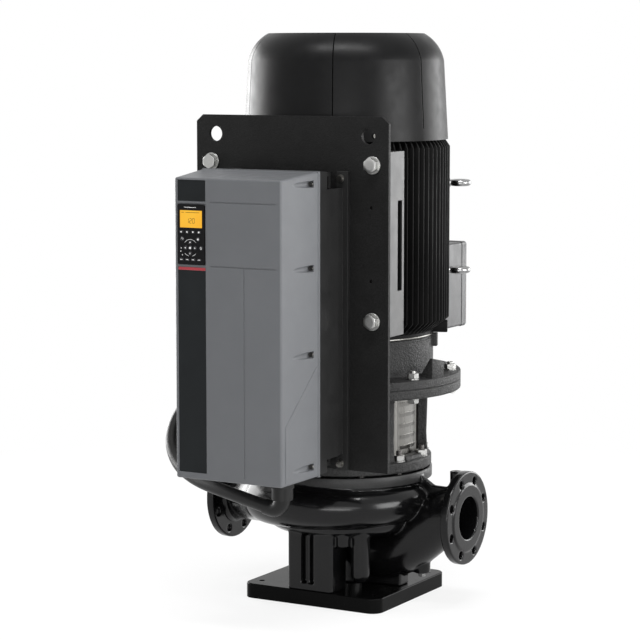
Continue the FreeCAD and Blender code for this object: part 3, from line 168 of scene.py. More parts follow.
# %% [markdown]
# ## The studio
#
# A product on a white page stands in soft light from all sides. Large lamps give long soft highlights on
# black paint. The floor is a pale plane that still takes the shadow; away from the pump it fades into the
# white backdrop, so no horizon shows. Rays from the camera and from shiny surfaces see a white world,
# while the light on the object itself stays at a plain level.

# %% Floor, world and lamps
# name, place, size, power; every lamp looks at the middle of the pump
lamps = [("lamp_key", (4.9, -0.2, 1.5), (2.8, 2.2), 192.0),
         ("lamp_front", (2.2, -4.9, 0.55), (3.0, 0.45), 56.0),
         ("lamp_fill", (2.9, -4.6, 1.45), (3.4, 1.0), 34.0),
         ("lamp_rim_left", (-3.9, 0.9, 1.2), (3.6, 2.2), 190.0),
         ("lamp_rim_right", (2.3, 4.1, 1.2), (3.0, 2.2), 120.0),
         ("lamp_top", (0.6, -1.4, 4.0), (2.8, 0.4), 110.0)]
lamp_target = Vector((0, 0, 0.65))
floor_half, floor_drop = 15.0, 0.0005
fade_start, fade_end, glow_near = 0.5, 2.2, 0.80
world_light = 0.40


def seen_directly(tree):
    """1 for rays from the camera and for rays that a mirror or glass sends on."""
    path = add_node(tree, "LightPath")
    total = path.outputs["Is Camera Ray"]
    for name in ("Is Glossy Ray", "Is Transmission Ray"):
        total = calculated(tree, "MAXIMUM", total, path.outputs[name])
    return total


def make_floor():
    mesh = bpy.data.meshes.new("studio_floor")
    corners = [(x * floor_half, y * floor_half, 0) for x, y in ((-1, -1), (1, -1), (1, 1), (-1, 1))]
    mesh.from_pydata(corners, [], [(0, 1, 2, 3)])
    floor = new_object("studio_floor", mesh)
    floor.location.z = -floor_drop
    paper, tree, shader, output = new_material("floor_paper")
    fill(tree, shader, {"Base Color": (0.86, 0.86, 0.86, 1), "Roughness": 0.9})
    distance = add_node(tree, "VectorMath", {0: object_place(tree)}, operation="LENGTH").outputs["Value"]
    fade = spread(tree, distance, fade_start, fade_end, glow_near, 1.0)
    share = calculated(tree, "MULTIPLY", seen_directly(tree), fade)
    glow = add_node(tree, "Emission", {"Strength": 1.0})
    mix = add_node(tree, "MixShader", {"Fac": share, 1: shader.outputs[0], 2: glow.outputs[0]})
    fill(tree, output, {"Surface": mix.outputs[0]})
    mesh.materials.append(paper)


def make_world():
    world = bpy.data.worlds.new("studio_world")
    scene.world = world
    world.use_nodes = True
    tree = world.node_tree
    strength = spread(tree, seen_directly(tree), 0.0, 1.0, world_light, 1.0)
    fill(tree, tree.nodes["Background"], {"Color": (1, 1, 1, 1), "Strength": strength})


def make_lamps():
    for name, place, size, power in lamps:
        data = bpy.data.lights.new(name, "AREA")
        data.shape = "RECTANGLE"
        data.size, data.size_y = size
        data.energy = power
        lamp = new_object(name, data)
        lamp.location = place
        lamp.rotation_euler = (lamp_target - Vector(place)).to_track_quat("-Z", "Y").to_euler()


make_floor()
make_world()
make_lamps()
scene.view_settings.view_transform = "Standard"

# %% [markdown]
# ## Finishes
#
# Paint, casting, sheet and rubber differ in four things: how the colour wanders, how rough the surface
# is, how deep its grain is and how much lighter its edges are, partly from wear and partly as a painted
# highlight. One builder takes them as numbers.
# Object coordinates are used, so the grain keeps its real size on every piece. The Bevel node rounds the
# look of sharp CAD edges, and its difference from the true normal marks the edges, which are made lighter:
# partly wear, partly a painted highlight.

# %% The builder of finishes
mottle_scale, rough_scale, pit_scale = 14.0, 35.0, 0.22
noise_low, noise_high = 0.3, 0.7
# edges are lightened: partly worn paint, partly a painted highlight
edge_start, edge_full, edge_wear_highlight_lift = 0.995, 0.85, 0.004
grain_shade, rough_spread, coat_rough = 0.35, 0.05, 0.08


def wandering(tree, coordinates, scale, detail, low, high):
    """Noise of this many waves per metre, spread between two values."""
    noise = add_node(tree, "TexNoise", {"Scale": scale, "Detail": detail, "Vector": coordinates})
    return spread(tree, noise.outputs["Fac"], noise_low, noise_high, low, high)


def blended(tree, share, first, second):
    """A colour between two; each is a tuple or a socket."""
    first, second = ((*c, 1.0) if isinstance(c, tuple) else c for c in (first, second))
    return add_node(tree, "Mix", {0: share, 6: first, 7: second}, data_type="RGBA").outputs[2]


def edge_share(tree, bevel):
    """1 on edges, 0 on faces: how far the rounded normal leans from the true one."""
    true_normal = add_node(tree, "NewGeometry").outputs["Normal"]
    lean = add_node(tree, "VectorMath", {0: true_normal, 1: bevel.outputs[0]}, operation="DOT_PRODUCT")
    return spread(tree, lean.outputs["Value"], edge_start, edge_full)


def finish(name, colour, rough, metal=0.0, mottle=0.12, grain=900.0, depth=0.02, stretch=(1, 1, 1),
           edge_radius=0.8, edge_wear_and_highlight=1.35, coat=0.0, pits=0.0, shine=0.5, speck=0.5):
    """colour as it renders, grain in waves per metre, depth and edge_radius in millimetres."""
    made, tree, shader, _ = new_material(name)
    drawn = add_node(tree, "Mapping", {"Vector": object_place(tree), "Scale": stretch}).outputs[0]
    dark = tuple(c * (1 - mottle) for c in colour)
    light = tuple(min(c * (1 + mottle), 1.0) for c in colour)
    ground = blended(tree, wandering(tree, drawn, mottle_scale, 4.0, 0.0, 1.0), dark, light)
    grained = blended(tree, wandering(tree, drawn, grain, 2.0, 0.0, speck), ground,
                      tuple(c * grain_shade for c in colour))
    bevel = add_node(tree, "Bevel", {"Radius": edge_radius * MM}, samples=4)
    # the lighter edge colour is partly wear and partly a painted highlight
    wear_and_highlight_edge_colour = tuple(min(c * edge_wear_and_highlight + edge_wear_highlight_lift, 1.0) for c in colour)
    painted = blended(tree, edge_share(tree, bevel), grained, wear_and_highlight_edge_colour)
    roughness = wandering(tree, drawn, rough_scale, 4.0, rough - rough_spread, rough + rough_spread)
    height = wandering(tree, drawn, grain, 3.0, 0.0, 1.0)
    if pits:
        larger = wandering(tree, drawn, grain * pit_scale, 3.0, 0.0, 1.0)
        height = calculated(tree, "MULTIPLY_ADD", larger, pits, height)
    bump = add_node(tree, "Bump", {"Distance": depth * MM, "Strength": 1.0, "Height": height,
                                   "Normal": bevel.outputs[0]})
    fill(tree, shader, {"Base Color": painted, "Roughness": roughness, "Metallic": metal,
                        "Specular IOR Level": shine, "Coat Weight": coat, "Coat Roughness": coat_rough,
                        "Normal": bump.outputs[0]})
    return made


print("waves per metre: colour", mottle_scale, "roughness", rough_scale)

# %% [markdown]
# ### Paint and castings
#
# The pump housing is dipped in glossy black over a fine sand-cast skin. The stool and the motor shield
# are the same iron under a duller grey coat, with a coarser grain. The plate has a fine powder coat, and
# the drive is moulded with a satin skin. Most names are the record's slots; the others are closer looks
# for a part of a slot.

# %% The table of finishes
def grey(level):
    return (level, level, level)


near_black = (0.003, 0.003, 0.0032)
finish_table = {
    "base_paint": (grey(0.003), 0.16, dict(grain=260, depth=0.03, shine=0.04, speck=0.2)),
    "pump_paint": (near_black, 0.18, dict(
        grain=300, depth=0.03, pits=1.5, edge_radius=1.6, shine=0.26, speck=0.2)),
    # the top ring's lighter grey is a painted highlight where the ring catches the light
    "ring_painted_highlight": (grey(0.026), 0.40, dict(grain=450, depth=0.15, mottle=0.25, shine=0.2)),
    # the grooves' near-black is a painted shade in the channels
    "groove_painted_shade": (grey(0.0012), 0.8, dict(shine=0.02)),
    "stool_iron": (grey(0.029), 0.50, dict(
        grain=250, depth=0.9, pits=0.8, mottle=0.3, edge_radius=1.6, shine=0.18, speck=1.0)),
    "motor_black": (grey(0.0045), 0.5, dict(grain=400, depth=0.06, pits=0.6, shine=0.07, edge_wear_and_highlight=1.1)),
    "cover_black": (near_black, 0.36, dict(grain=500, depth=0.015, edge_radius=1.2, shine=0.12, speck=0.3)),
    "plate_black": (grey(0.0075), 0.55, dict(
        grain=350, depth=0.4, mottle=0.3, edge_radius=0.6, shine=0.15, speck=1.0, edge_wear_and_highlight=3.0)),
    "heatsink_black": (grey(0.010), 0.45, dict(grain=500, depth=0.06, shine=0.3)),
    "drive_grey": ((0.100, 0.1035, 0.110), 0.42, dict(
        grain=1200, depth=0.03, mottle=0.03, edge_wear_and_highlight=1.25, edge_radius=1.0, shine=0.25, speck=0.1)),
    "bracket_grey": ((0.052, 0.052, 0.0525), 0.45, dict(
        depth=0.03, mottle=0.04, edge_wear_and_highlight=1.15, shine=0.35, speck=0.1)),
    "box_grey": ((0.050, 0.0505, 0.052), 0.42, dict(
        grain=700, depth=0.04, mottle=0.04, edge_wear_and_highlight=1.15, edge_radius=1.0, shine=0.35, speck=0.1)),
    "panel_black": ((0.004, 0.004, 0.0045), 0.40, dict(grain=1400, edge_radius=0.4, shine=0.1, speck=0.2)),
    "key_dark": ((0.014, 0.014, 0.016), 0.50, dict(grain=1400, edge_radius=0.3, shine=0.25, speck=0.2)),
    "black_plastic": (grey(0.010), 0.38, dict(depth=0.03, shine=0.2)),
    "cable_black": (grey(0.009), 0.42, dict(grain=500, depth=0.05, shine=0.2)),
    "zinc_steel": ((0.42, 0.42, 0.41), 0.34, dict(
        metal=1.0, grain=600, mottle=0.1, edge_radius=0.5, edge_wear_and_highlight=1.1, speck=0.2)),
    "stud_steel": ((0.085, 0.080, 0.078), 0.42, dict(metal=0.8, grain=600)),
    "eye_steel": (grey(0.34), 0.22, dict(metal=1.0, grain=600, mottle=0.1)),
    "stainless": ((0.19, 0.186, 0.175), 0.30, dict(
        metal=1.0, grain=700, depth=0.008, stretch=(1, 1, 0.05), mottle=0.06, edge_radius=0.4,
        edge_wear_and_highlight=1.1, speck=0.2)),
    "bright_steel": ((0.68, 0.68, 0.67), 0.18, dict(
        metal=1.0, grain=700, depth=0.01, mottle=0.05, edge_wear_and_highlight=1.1, speck=0.1)),
    "dark_steel": (grey(0.20), 0.35, dict(metal=1.0, grain=600)),
    "bronze": ((0.55, 0.38, 0.18), 0.30, dict(metal=1.0, depth=0.01, speck=0.2)),
    "gasket_rubber": (grey(0.02), 0.7, dict(grain=1200, depth=0.03, shine=0.3)),
    "seal_ceramic": ((0.70, 0.70, 0.66), 0.15, dict(grain=1200, depth=0.003, coat=0.5, speck=0.1)),
    "impeller_iron": (grey(0.20), 0.5, dict(metal=0.6, grain=500, depth=0.12, pits=1)),
    "coupling_iron": (grey(0.18), 0.42, dict(metal=0.8, grain=700, depth=0.05)),
    "lamination": (grey(0.30), 0.35, dict(metal=1.0, grain=2000, depth=0.05, stretch=(0.05, 0.05, 1))),
    "copper_winding": ((0.42, 0.17, 0.07), 0.3, dict(
        metal=0.7, grain=500, depth=0.3, stretch=(0.2, 0.2, 1), coat=0.6)),
    "mark_white": (grey(0.62), 0.5, dict(
        grain=1400, depth=0.005, edge_radius=0.1, speck=0.05, edge_wear_and_highlight=1.05)),
    "signal_red": ((0.30, 0.020, 0.030), 0.38, dict(grain=1400, speck=0.1)),
    "strip_slate": ((0.009, 0.0105, 0.0115), 0.36, dict(grain=1400, shine=0.12, speck=0.1)),
}
finishes = {}
for name, (colour, rough, rest) in finish_table.items():
    finishes[name] = finish(name, colour, rough, **rest)
print("finishes", len(finishes))

# %% [markdown]
# ### Two special looks
#
# The display gives its own light, so nearly all its colour is emission. The bracket of bent sheet keeps
# its grey on its outer faces only; the rest, which the plate shades, is darkened with a painted shade. Then
# each CAD node takes the finish that its row in the record names.

# %% Display, bracket, and a finish on each node
bracket_outer_face = 249.3


def make_display_finish():
    """A lit amber panel behind clear plastic."""
    made, tree, shader, _ = new_material("display_amber")
    share = wandering(tree, object_place(tree), 18.0, 1.0, 0.0, 1.0)
    glow = blended(tree, share, (1.0, 0.47, 0.025), (1.0, 0.54, 0.040))
    fill(tree, shader, {"Emission Color": glow, "Emission Strength": 0.92, "Roughness": 0.25,
                        "Base Color": (0.02, 0.01, 0.0, 1.0), "Specular IOR Level": 0.2})
    return made


def paint_shade_inside(material, outer):
    """Keep the colour only on faces this many millimetres out along X, and paint shade on the rest."""
    tree = material.node_tree
    base = tree.nodes["Principled BSDF"].inputs["Base Color"]
    painted = base.links[0].from_socket
    across = add_node(tree, "SeparateXYZ", {0: object_place(tree)}).outputs["X"]
    outside = calculated(tree, "GREATER_THAN", calculated(tree, "ABSOLUTE", across), outer * MM)
    # painted shade: near-black on the faces that the plate shades
    tree.links.new(blended(tree, outside, grey(0.006), painted), base)


finishes["display_amber"] = make_display_finish()
paint_shade_inside(finishes["bracket_grey"], bracket_outer_face)
for row in frame["record"]["subparts"]:
    node = nodes[row["node"]]
    node.data.materials.clear()
    node.data.materials.append(finishes[row["material_slot"]])
nodes["lifting_eyes"].data.materials[0] = finishes["eye_steel"]
cable.data.materials.append(finishes["cable_black"])
print("nodes with a finish", sum(1 for n in nodes.values() if n.data.materials))

# %% [markdown]
# ## Turned and threaded pieces
#
# A bolt, a nut and a washer are all profiles turned about an axis. A plain turn gives a round; where the
# radius also depends on the angle it gives a hexagon, and where it depends on angle and height it gives a
# thread. So one helper takes a profile whose radii and heights may be functions of the angle.

# %% A lathe that can cut hexagons and threads
flat_face = 0.47       # the flat end of a nut or head reaches this share of its width across flats
chamfer_slope = math.tan(math.radians(30))
thread_pitch, thread_depth, thread_steps, thread_core, thread_taper = 2.0, 0.30, 4, 0.3, 0.12
washer_edge = 0.4


def polar(radius, angle, height):
    """A point about the axis, from millimetres and radians."""
    return Vector((radius * math.cos(angle) * MM, radius * math.sin(angle) * MM, height * MM))


def join_rings(bm, rings, closed):
    """Faces between each ring of vertices and the next, and from the last to the first if closed."""
    following = rings[1:] + rings[:1] if closed else rings[1:]
    for lower, upper in zip(rings, following):
        for i in range(len(lower)):
            j = (i + 1) % len(lower)
            bm.faces.new((lower[i], lower[j], upper[j], upper[i]))


def turned(bm, profile, place, segments=48, closed=False):
    """Add a turned form. profile holds (radius, height) pairs, each a number or a function of the angle."""
    rings = []
    for radius, height in profile:
        ring = []
        for i in range(segments):
            a = 2 * math.pi * i / segments
            r = radius(a) if callable(radius) else radius
            h = height(a) if callable(height) else height
            ring.append(bm.verts.new(place @ polar(r, a, h)))
        rings.append(ring)
    join_rings(bm, rings, closed)
    if not closed:
        bm.faces.new(rings[0][::-1])
        bm.faces.new(rings[-1])


def hexagon_radius(flats):
    """Radius of a hexagon at each angle."""
    return lambda a: flats / 2 / math.cos((a + math.pi / 6) % (math.pi / 3) - math.pi / 6)


def chamfered(flats, level, direction):
    """Height of the edge where a 30 degree chamfer meets the flats, from a face at this level."""
    radius = hexagon_radius(flats)
    return lambda a: level - direction * (radius(a) - flat_face * flats) * chamfer_slope


def add_nut(bm, place, flats, height, bore):
    radius = hexagon_radius(flats)
    turned(bm, [(bore, 1.0), (bore + 1, 0), (flat_face * flats, 0), (radius, chamfered(flats, 0, -1)),
                (radius, chamfered(flats, height, 1)), (flat_face * flats, height), (bore + 1, height),
                (bore, height - 1)], place, closed=True)


def add_head(bm, place, flats, height):
    radius = hexagon_radius(flats)
    turned(bm, [(0.45 * flats, 0), (flat_face * flats, 0.3), (radius, 0.6),
                (radius, chamfered(flats, height, 1)), (flat_face * flats, height),
                (0.30 * flats, height - 0.15)], place)


def add_washer(bm, place, radius, bore, thickness):
    rim, top = radius - washer_edge, thickness - washer_edge
    turned(bm, [(bore, 0), (rim, 0), (radius, washer_edge), (radius, top), (rim, thickness),
                (bore, thickness)], place, closed=True)


def add_thread(bm, place, radius, start, end):
    """A threaded end: the groove climbs by one pitch a turn, and the last pitch is chamfered."""
    profile = [(thread_core * radius, start)]
    for i in range(int((end - start) / thread_pitch * thread_steps) + 1):
        height = start + i * thread_pitch / thread_steps
        narrow = 1.0 - thread_taper * max(0.0, (height - end + thread_pitch) / thread_pitch)

        def cut(a, height=height, narrow=narrow):
            share = (height / thread_pitch - a / (2 * math.pi)) % 1.0
            return radius * narrow - thread_depth * thread_pitch * abs(2 * share - 1)

        profile.append((cut, height))
    profile.append((thread_core * radius, end))
    turned(bm, profile, place, 20)


def finished_piece(name, bm, slot, body="root", look=None, sharp_from=35.0):
    """Close a bmesh into a piece that rides on a body. look names another finish than the slot's own;
    sharp_from is the angle from which an edge stays sharp, and 0 keeps every face flat."""
    bmesh.ops.recalc_face_normals(bm, faces=bm.faces[:])
    mesh = bpy.data.meshes.new(name)
    bm.to_mesh(mesh)
    bm.free()
    made = new_object(name, mesh)
    if sharp_from:
        mesh.shade_smooth()
        mesh.set_sharp_from_angle(angle=math.radians(sharp_from))
    mesh.materials.append(finishes[look or slot])
    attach(made, body)
    return made


def upright(x, y, z):
    """A place at this point, in millimetres, with its height axis up."""
    return Matrix.Translation((x * MM, y * MM, z * MM))


def facing_front(x, y, z):
    """A place whose height axis points to the front, -Y."""
    return upright(x, y, z) @ Matrix.Rotation(math.pi / 2, 4, "X")


def turned_about_pump(angle):
    """The pump's own place, turned about its axis by degrees."""
    return Matrix.Rotation(math.radians(angle), 4, "Z")


def around_axis(circle, count, first):
    """Points on a circle about the pump axis, in millimetres."""
    for i in range(count):
        a = math.radians(first + 360.0 * i / count)
        yield circle * math.cos(a), circle * math.sin(a)


print("thread pitch", thread_pitch, "mm")

# %% [markdown]
# ### Studs, nuts and bolts
#
# Twelve studs hold the stool to the housing, eight bolts hold the motor flange, and larger bolts hold the
# plate. Nuts, washers and heads are zinc plated; the studs are plain. Their places are the CAD's.

# %% Fasteners, in millimetres
washer_radius, washer_thickness, washer_hole, on_washer = 15.0, 2.5, 8.2, 2.6
nut_flats, nut_height, head_height = 24.0, 12.8, 9.8
thread_start = 15.3
stud_circle, bolt_circle = 190.0, 250.0
corner_x, corner_heights = 212.0, (694.0, 1045.0)
pad_x, pad_heights = 190.0, (705.0, 1030.0)


def add_shank(bm, place, radius, low, end):
    """A plain shank, and above its nut's face a threaded end."""
    turned(bm, [(radius, low), (radius, thread_start - 0.1)], place, 24)
    add_thread(bm, place, radius, thread_start, end)


def add_head_on_washer(bm, place):
    add_washer(bm, place, washer_radius, washer_hole, washer_thickness)
    add_head(bm, place @ upright(0, 0, on_washer), nut_flats, head_height)


def make_housing_studs():
    nuts, studs = bmesh.new(), bmesh.new()
    nut_seat, stud_low, stud_radius = 343.0, 292.0, 6.9
    for i, (x, y) in enumerate(around_axis(stud_circle, 12, 10.0)):
        place = upright(x, y, nut_seat) @ Matrix.Rotation(0.4 * i, 4, "Z")
        add_washer(nuts, place, washer_radius, 7.2, washer_thickness)
        add_nut(nuts, place @ upright(0, 0, on_washer), nut_flats, nut_height, 7.3)
        add_shank(studs, place, stud_radius, stud_low - nut_seat, 26.0)
    made = finished_piece("stool_nuts", nuts, "zinc_steel")
    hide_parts("housing_studs")
    finished_piece("stool_studs", studs, "zinc_steel", look="stud_steel")
    return made


def make_flange_bolts():
    bm = bmesh.new()
    head_seat, nut_seat, bolt_radius = 501.5, 544.5, 7.8
    for i, (x, y) in enumerate(around_axis(bolt_circle, 8, 22.5)):
        turn = Matrix.Rotation(0.55 * i, 4, "Z")
        place = upright(x, y, nut_seat) @ turn
        add_washer(bm, place, washer_radius, washer_hole, washer_thickness)
        add_nut(bm, place @ upright(0, 0, on_washer), nut_flats, nut_height, 8.1)
        add_shank(bm, place, bolt_radius, head_seat - nut_seat, 20.0)
        add_head_on_washer(bm, upright(x, y, head_seat) @ turn @ Matrix.Rotation(math.pi, 4, "X"))
    made = finished_piece("motor_flange_bolts", bm, "zinc_steel")
    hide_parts("flange_screws")
    return made


def make_plate_bolts():
    bm = bmesh.new()
    plate_front, pad_front, nut_depth, flats = -259.2, -183.2, -29.0, 30.0
    for side in (-1, 1):
        for z in corner_heights:
            place = facing_front(side * corner_x, plate_front, z)
            add_washer(bm, place, 20.0, 10.2, 3.0)
            add_head(bm, place @ upright(0, 0, 3.1), flats, 12.3)
            turned(bm, [(9.8, nut_depth), (9.8, 3.5)], place, 28)
            add_nut(bm, place @ upright(0, 0, nut_depth), flats, 13.8, 9.9)
        for z in pad_heights:
            place = facing_front(side * pad_x, pad_front, z)
            add_head_on_washer(bm, place)
            turned(bm, [(7.9, -24.0), (7.9, 3.0)], place, 24)
    made = finished_piece("plate_bolts", bm, "zinc_steel")
    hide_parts("plate_screws")
    return made


for made in (make_housing_studs(), make_flange_bolts(), make_plate_bolts()):
    print(made.name, "faces", len(made.data.polygons))

# %% [markdown]
# ## Castings
#
# A sand casting has no sharp inner corners: every wall runs into the next in a fillet. To get them all at
# once, the exact CAD mesh is filled with small even cells (a voxel remesh) and relaxed, which rounds every
# corner by about the same amount. The machined faces are held by a weight, so they stay flat.

# %% Soft copies of the cast nodes
held_weight = 0.85
ring_radius, ring_bottom, ring_top = 207.8, 289.0, 312.5


def applied(made):
    """Turn an object's modifiers into its mesh."""
    evaluated = made.evaluated_get(bpy.context.evaluated_depsgraph_get())
    mesh = bpy.data.meshes.new_from_object(evaluated)
    made.modifiers.clear()
    old = made.data
    made.data = mesh
    bpy.data.meshes.remove(old)


def cast_copy(node, name, slot, cell, rounds, held):
    """A relaxed voxel copy of a CAD node. held(point) is 1 or more where a machined face must stay."""
    bm = bmesh.new()
    bm.from_mesh(nodes[node].data)
    bmesh.ops.remove_doubles(bm, verts=bm.verts[:], dist=2e-6)
    made = finished_piece(name, bm, slot, sharp_from=0)
    remesh = made.modifiers.new("cells", "REMESH")
    remesh.mode = "VOXEL"
    remesh.voxel_size = cell * MM
    applied(made)
    group = made.vertex_groups.new(name="loose")
    for vertex in made.data.vertices:
        hold = held_weight * min(max(held(vertex.co / MM), 0.0), 1.0)
        group.add([vertex.index], 1.0 - hold, "REPLACE")
    relax = made.modifiers.new("relax", "SMOOTH")
    relax.factor = 0.5
    relax.iterations = rounds
    relax.vertex_group = "loose"
    applied(made)
    made.vertex_groups.clear()
    made.data.shade_smooth()
    made.data.set_sharp_from_angle(angle=math.radians(50))
    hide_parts(node)
    return made


def held_on_housing(point):
    """Holds the flange faces, the top ring and the feet's undersides."""
    return max((abs(point.x) - 303.0) / 6.0, (point.z - 306.0) / 4.0, (42.0 - point.z) / 4.0)


def held_on_stool(point):
    """Holds the two flange faces of the stool."""
    return max((point.z - 500.0) / 4.0, (330.0 - point.z) / 4.0)


def make_turned_band():
    """The machined edge of the housing's top ring, in a duller finish whose lighter grey is a painted
    highlight.
    """
    bm = bmesh.new()
    inside, rounding = ring_radius - 2.8, ring_radius - 0.3
    turned(bm, [(inside, ring_bottom), (rounding, ring_bottom + 0.1), (ring_radius, ring_bottom + 0.6),
                (ring_radius, ring_top - 0.6), (rounding, ring_top - 0.1), (inside, ring_top)],
           Matrix(), 128, closed=True)
    return finished_piece("turned_band", bm, "pump_paint", look="ring_painted_highlight", sharp_from=60.0)


housing = cast_copy("pump_housing", "cast_pump_housing", "pump_paint", 2.3, 16, held_on_housing)
stool = cast_copy("motor_stool", "cast_motor_stool", "stool_iron", 2.4, 5, held_on_stool)
print("housing", len(housing.data.polygons), "stool", len(stool.data.polygons), make_turned_band().name)

# %% [markdown]
# ## The motor's body
#
# The fins of a cast motor body taper, so that the pattern can be drawn out of the sand: thick at the root,
# thin and slightly rounded at the crest. The section is drawn once as a star and repeated at each height
# where the outline changes; the outline only limits the radius. Pads, bosses and feet are joined to it.

# %% Motor body with tapering fins
fin_count, fin_crest, fin_valley, body_bore = 90, 246.0, 215.0, 186.0
body_low, body_high = 629.0, 1097.0
box_low, box_high, box_half, box_back = 617.0, 834.0, 149.0, 236.0
# height and largest radius, because the ends of the fins are cut at a slant
body_steps = [(body_low, 209.0), (642.0, 209.0), (672.0, 247.0), (1076.0, 247.0), (body_high, 231.0)]


def body_outline(z):
    """Largest radius at a height."""
    for (z0, r0), (z1, r1) in zip(body_steps, body_steps[1:]):
        if z <= z1:
            return r0 + (r1 - r0) * (z - z0) / (z1 - z0)
    return body_steps[-1][1]


def fin_section():
    """(angle, radius) pairs once round the star: valley, flank, crest, flank."""
    flank = [(fin_valley, -4.3), (fin_valley + 1.5, -3.3), (fin_crest - 1.2, -1.9), (fin_crest, -0.9)]
    flank += [(radius, -offset) for radius, offset in reversed(flank)]
    pitch = 2 * math.pi / fin_count
    return [((i + 0.5) * pitch + offset / radius, radius)
            for i in range(fin_count) for radius, offset in flank]


def body_ring(bm, z, section):
    """The star at a height, cut flat behind the terminal box."""
    ring = []
    for a, radius in section:
        r = min(radius, body_outline(z))
        x, y = r * math.cos(a), r * math.sin(a)
        if box_low < z < box_high and abs(x) < box_half and y > box_back:
            y = box_back
        ring.append(bm.verts.new((x * MM, y * MM, z * MM)))
    return ring


def add_box(bm, place, x, y, z, round_by=1.0, segments=2, along=None):
    """A box in millimetres, set at a place. Its edges are rounded: all, or those along one axis."""
    made = bmesh.ops.create_cube(bm, size=1.0)["verts"]
    edges = {e for v in made for e in v.link_edges}
    if along is not None:
        edges = {e for e in edges if abs((e.verts[0].co - e.verts[1].co)[along]) > 0.5}
    for vertex in made:
        spot = [low + (high - low) * (c + 0.5) for c, (low, high) in zip(vertex.co, (x, y, z))]
        vertex.co = place @ (Vector(spot) * MM)
    bm.normal_update()
    bmesh.ops.bevel(bm, geom=list(edges), offset=round_by * MM, segments=segments, affect="EDGES",
                    profile=0.5)


def make_motor_body():
    bm = bmesh.new()
    section = fin_section()
    rings = [body_ring(bm, z, section) for z in (body_low, 642.0, 644.0, 652.0, 662.0, 672.0, 833.9, 834.1,
                                                 1076.0, 1085.0, body_high)]
    rings += [[bm.verts.new(polar(body_bore, a, z)) for a, _ in section] for z in (body_high, body_low)]
    join_rings(bm, rings, closed=True)
    for x in (-pad_x, pad_x):
        for z in pad_heights:
            add_box(bm, Matrix(), (x - 24.0, x + 24.0), (-177.1, -80.0), (z - 24, z + 24))
    add_box(bm, Matrix(), (-122.0, 122.0), (160.0, box_back), (646.0, 818.0))
    for angle in (24, 156):
        add_box(bm, turned_about_pump(angle), (200.0, 243.0), (-9.0, 9.0), (634.5, 663.0), 1.5)
    for angle in (43, 137):
        for z in (985.0, 775.0):
            turned(bm, [(13.5, -15.0), (15.0, -13.5), (15.0, 13.5), (13.5, 15.0)],
                   turned_about_pump(angle) @ upright(232.0, 0, z), 32)
    made = finished_piece("finned_motor_body", bm, "motor_black", sharp_from=50.0)
    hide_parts("motor_frame")
    return made


print("motor body faces", len(make_motor_body().data.polygons))

# %% [markdown]
# ## The fan cover
#
# The cover is sheet drawn over a former: a slightly conical skirt, a crease, then a domed shoulder. Six
# narrow grooves run up it. The profile is turned round a list of angles that is even, but has four more
# angles at every groove, so that each groove is a real channel and stays crisp.

# %% Fan cover
groove_angles = (-68.5, -13.0, 47.0, 107.0, 167.0, 227.0)
groove_half, groove_edge, groove_depth, groove_start, groove_inner = 1.1, 1.4, 1.6, 1121.0, 190.0
cover_top, cover_sheet = 1340.0, 2.5


def on_circle(x, z, radius, angles):
    return [(x + radius * math.cos(a), z + radius * math.sin(a)) for a in angles]


def arc_through(first, middle, last, steps):
    """Points on the circle through three (radius, height) points."""
    (ax, az), (bx, bz), (cx, cz) = first, middle, last
    d = 2 * (ax * (bz - cz) + bx * (cz - az) + cx * (az - bz))
    a2, b2, c2 = ax * ax + az * az, bx * bx + bz * bz, cx * cx + cz * cz
    ux = (a2 * (bz - cz) + b2 * (cz - az) + c2 * (az - bz)) / d
    uz = (a2 * (cx - bx) + b2 * (ax - cx) + c2 * (bx - ax)) / d
    radius = math.hypot(ax - ux, az - uz)
    t0, t1 = math.atan2(az - uz, ax - ux), math.atan2(cz - uz, cx - ux)
    return on_circle(ux, uz, radius, [t0 + (t1 - t0) * i / steps for i in range(steps + 1)])


def cover_profile(inset):
    """Skirt, shoulder and top, moved inwards by an inset."""
    top = cover_top - inset
    shoulder = arc_through((231.0 - inset, 1276.0), (214.3 - 0.7 * inset, 1313.8 - 0.7 * inset),
                           (184.0, top), 14)
    skirt = [(241.4 - inset, 1093.0), (239.85 - inset, 1120.5), (239.8 - inset, 1121.5)]
    return skirt + [(radius, min(height, top)) for radius, height in shoulder] + [(142.0, top)]


def cover_angles():
    """Sorted pairs of an angle and the share of the groove's depth there."""
    angles = {3.0 * i: 0.0 for i in range(120)}
    across = ((-groove_edge, 0.0), (-groove_half, 1.0), (groove_half, 1.0), (groove_edge, 0.0))
    for middle in groove_angles:
        for offset, share in across:
            angles[(middle + math.degrees(offset / 235.0)) % 360.0] = share
    return sorted(angles.items())


def cover_ring(bm, radius, height, angles, grooved):
    """One ring of the cover's sheet, set in where a groove crosses it."""
    depth = groove_depth if grooved else 0.0
    return [bm.verts.new(polar(radius - depth * share, math.radians(a), height)) for a, share in angles]


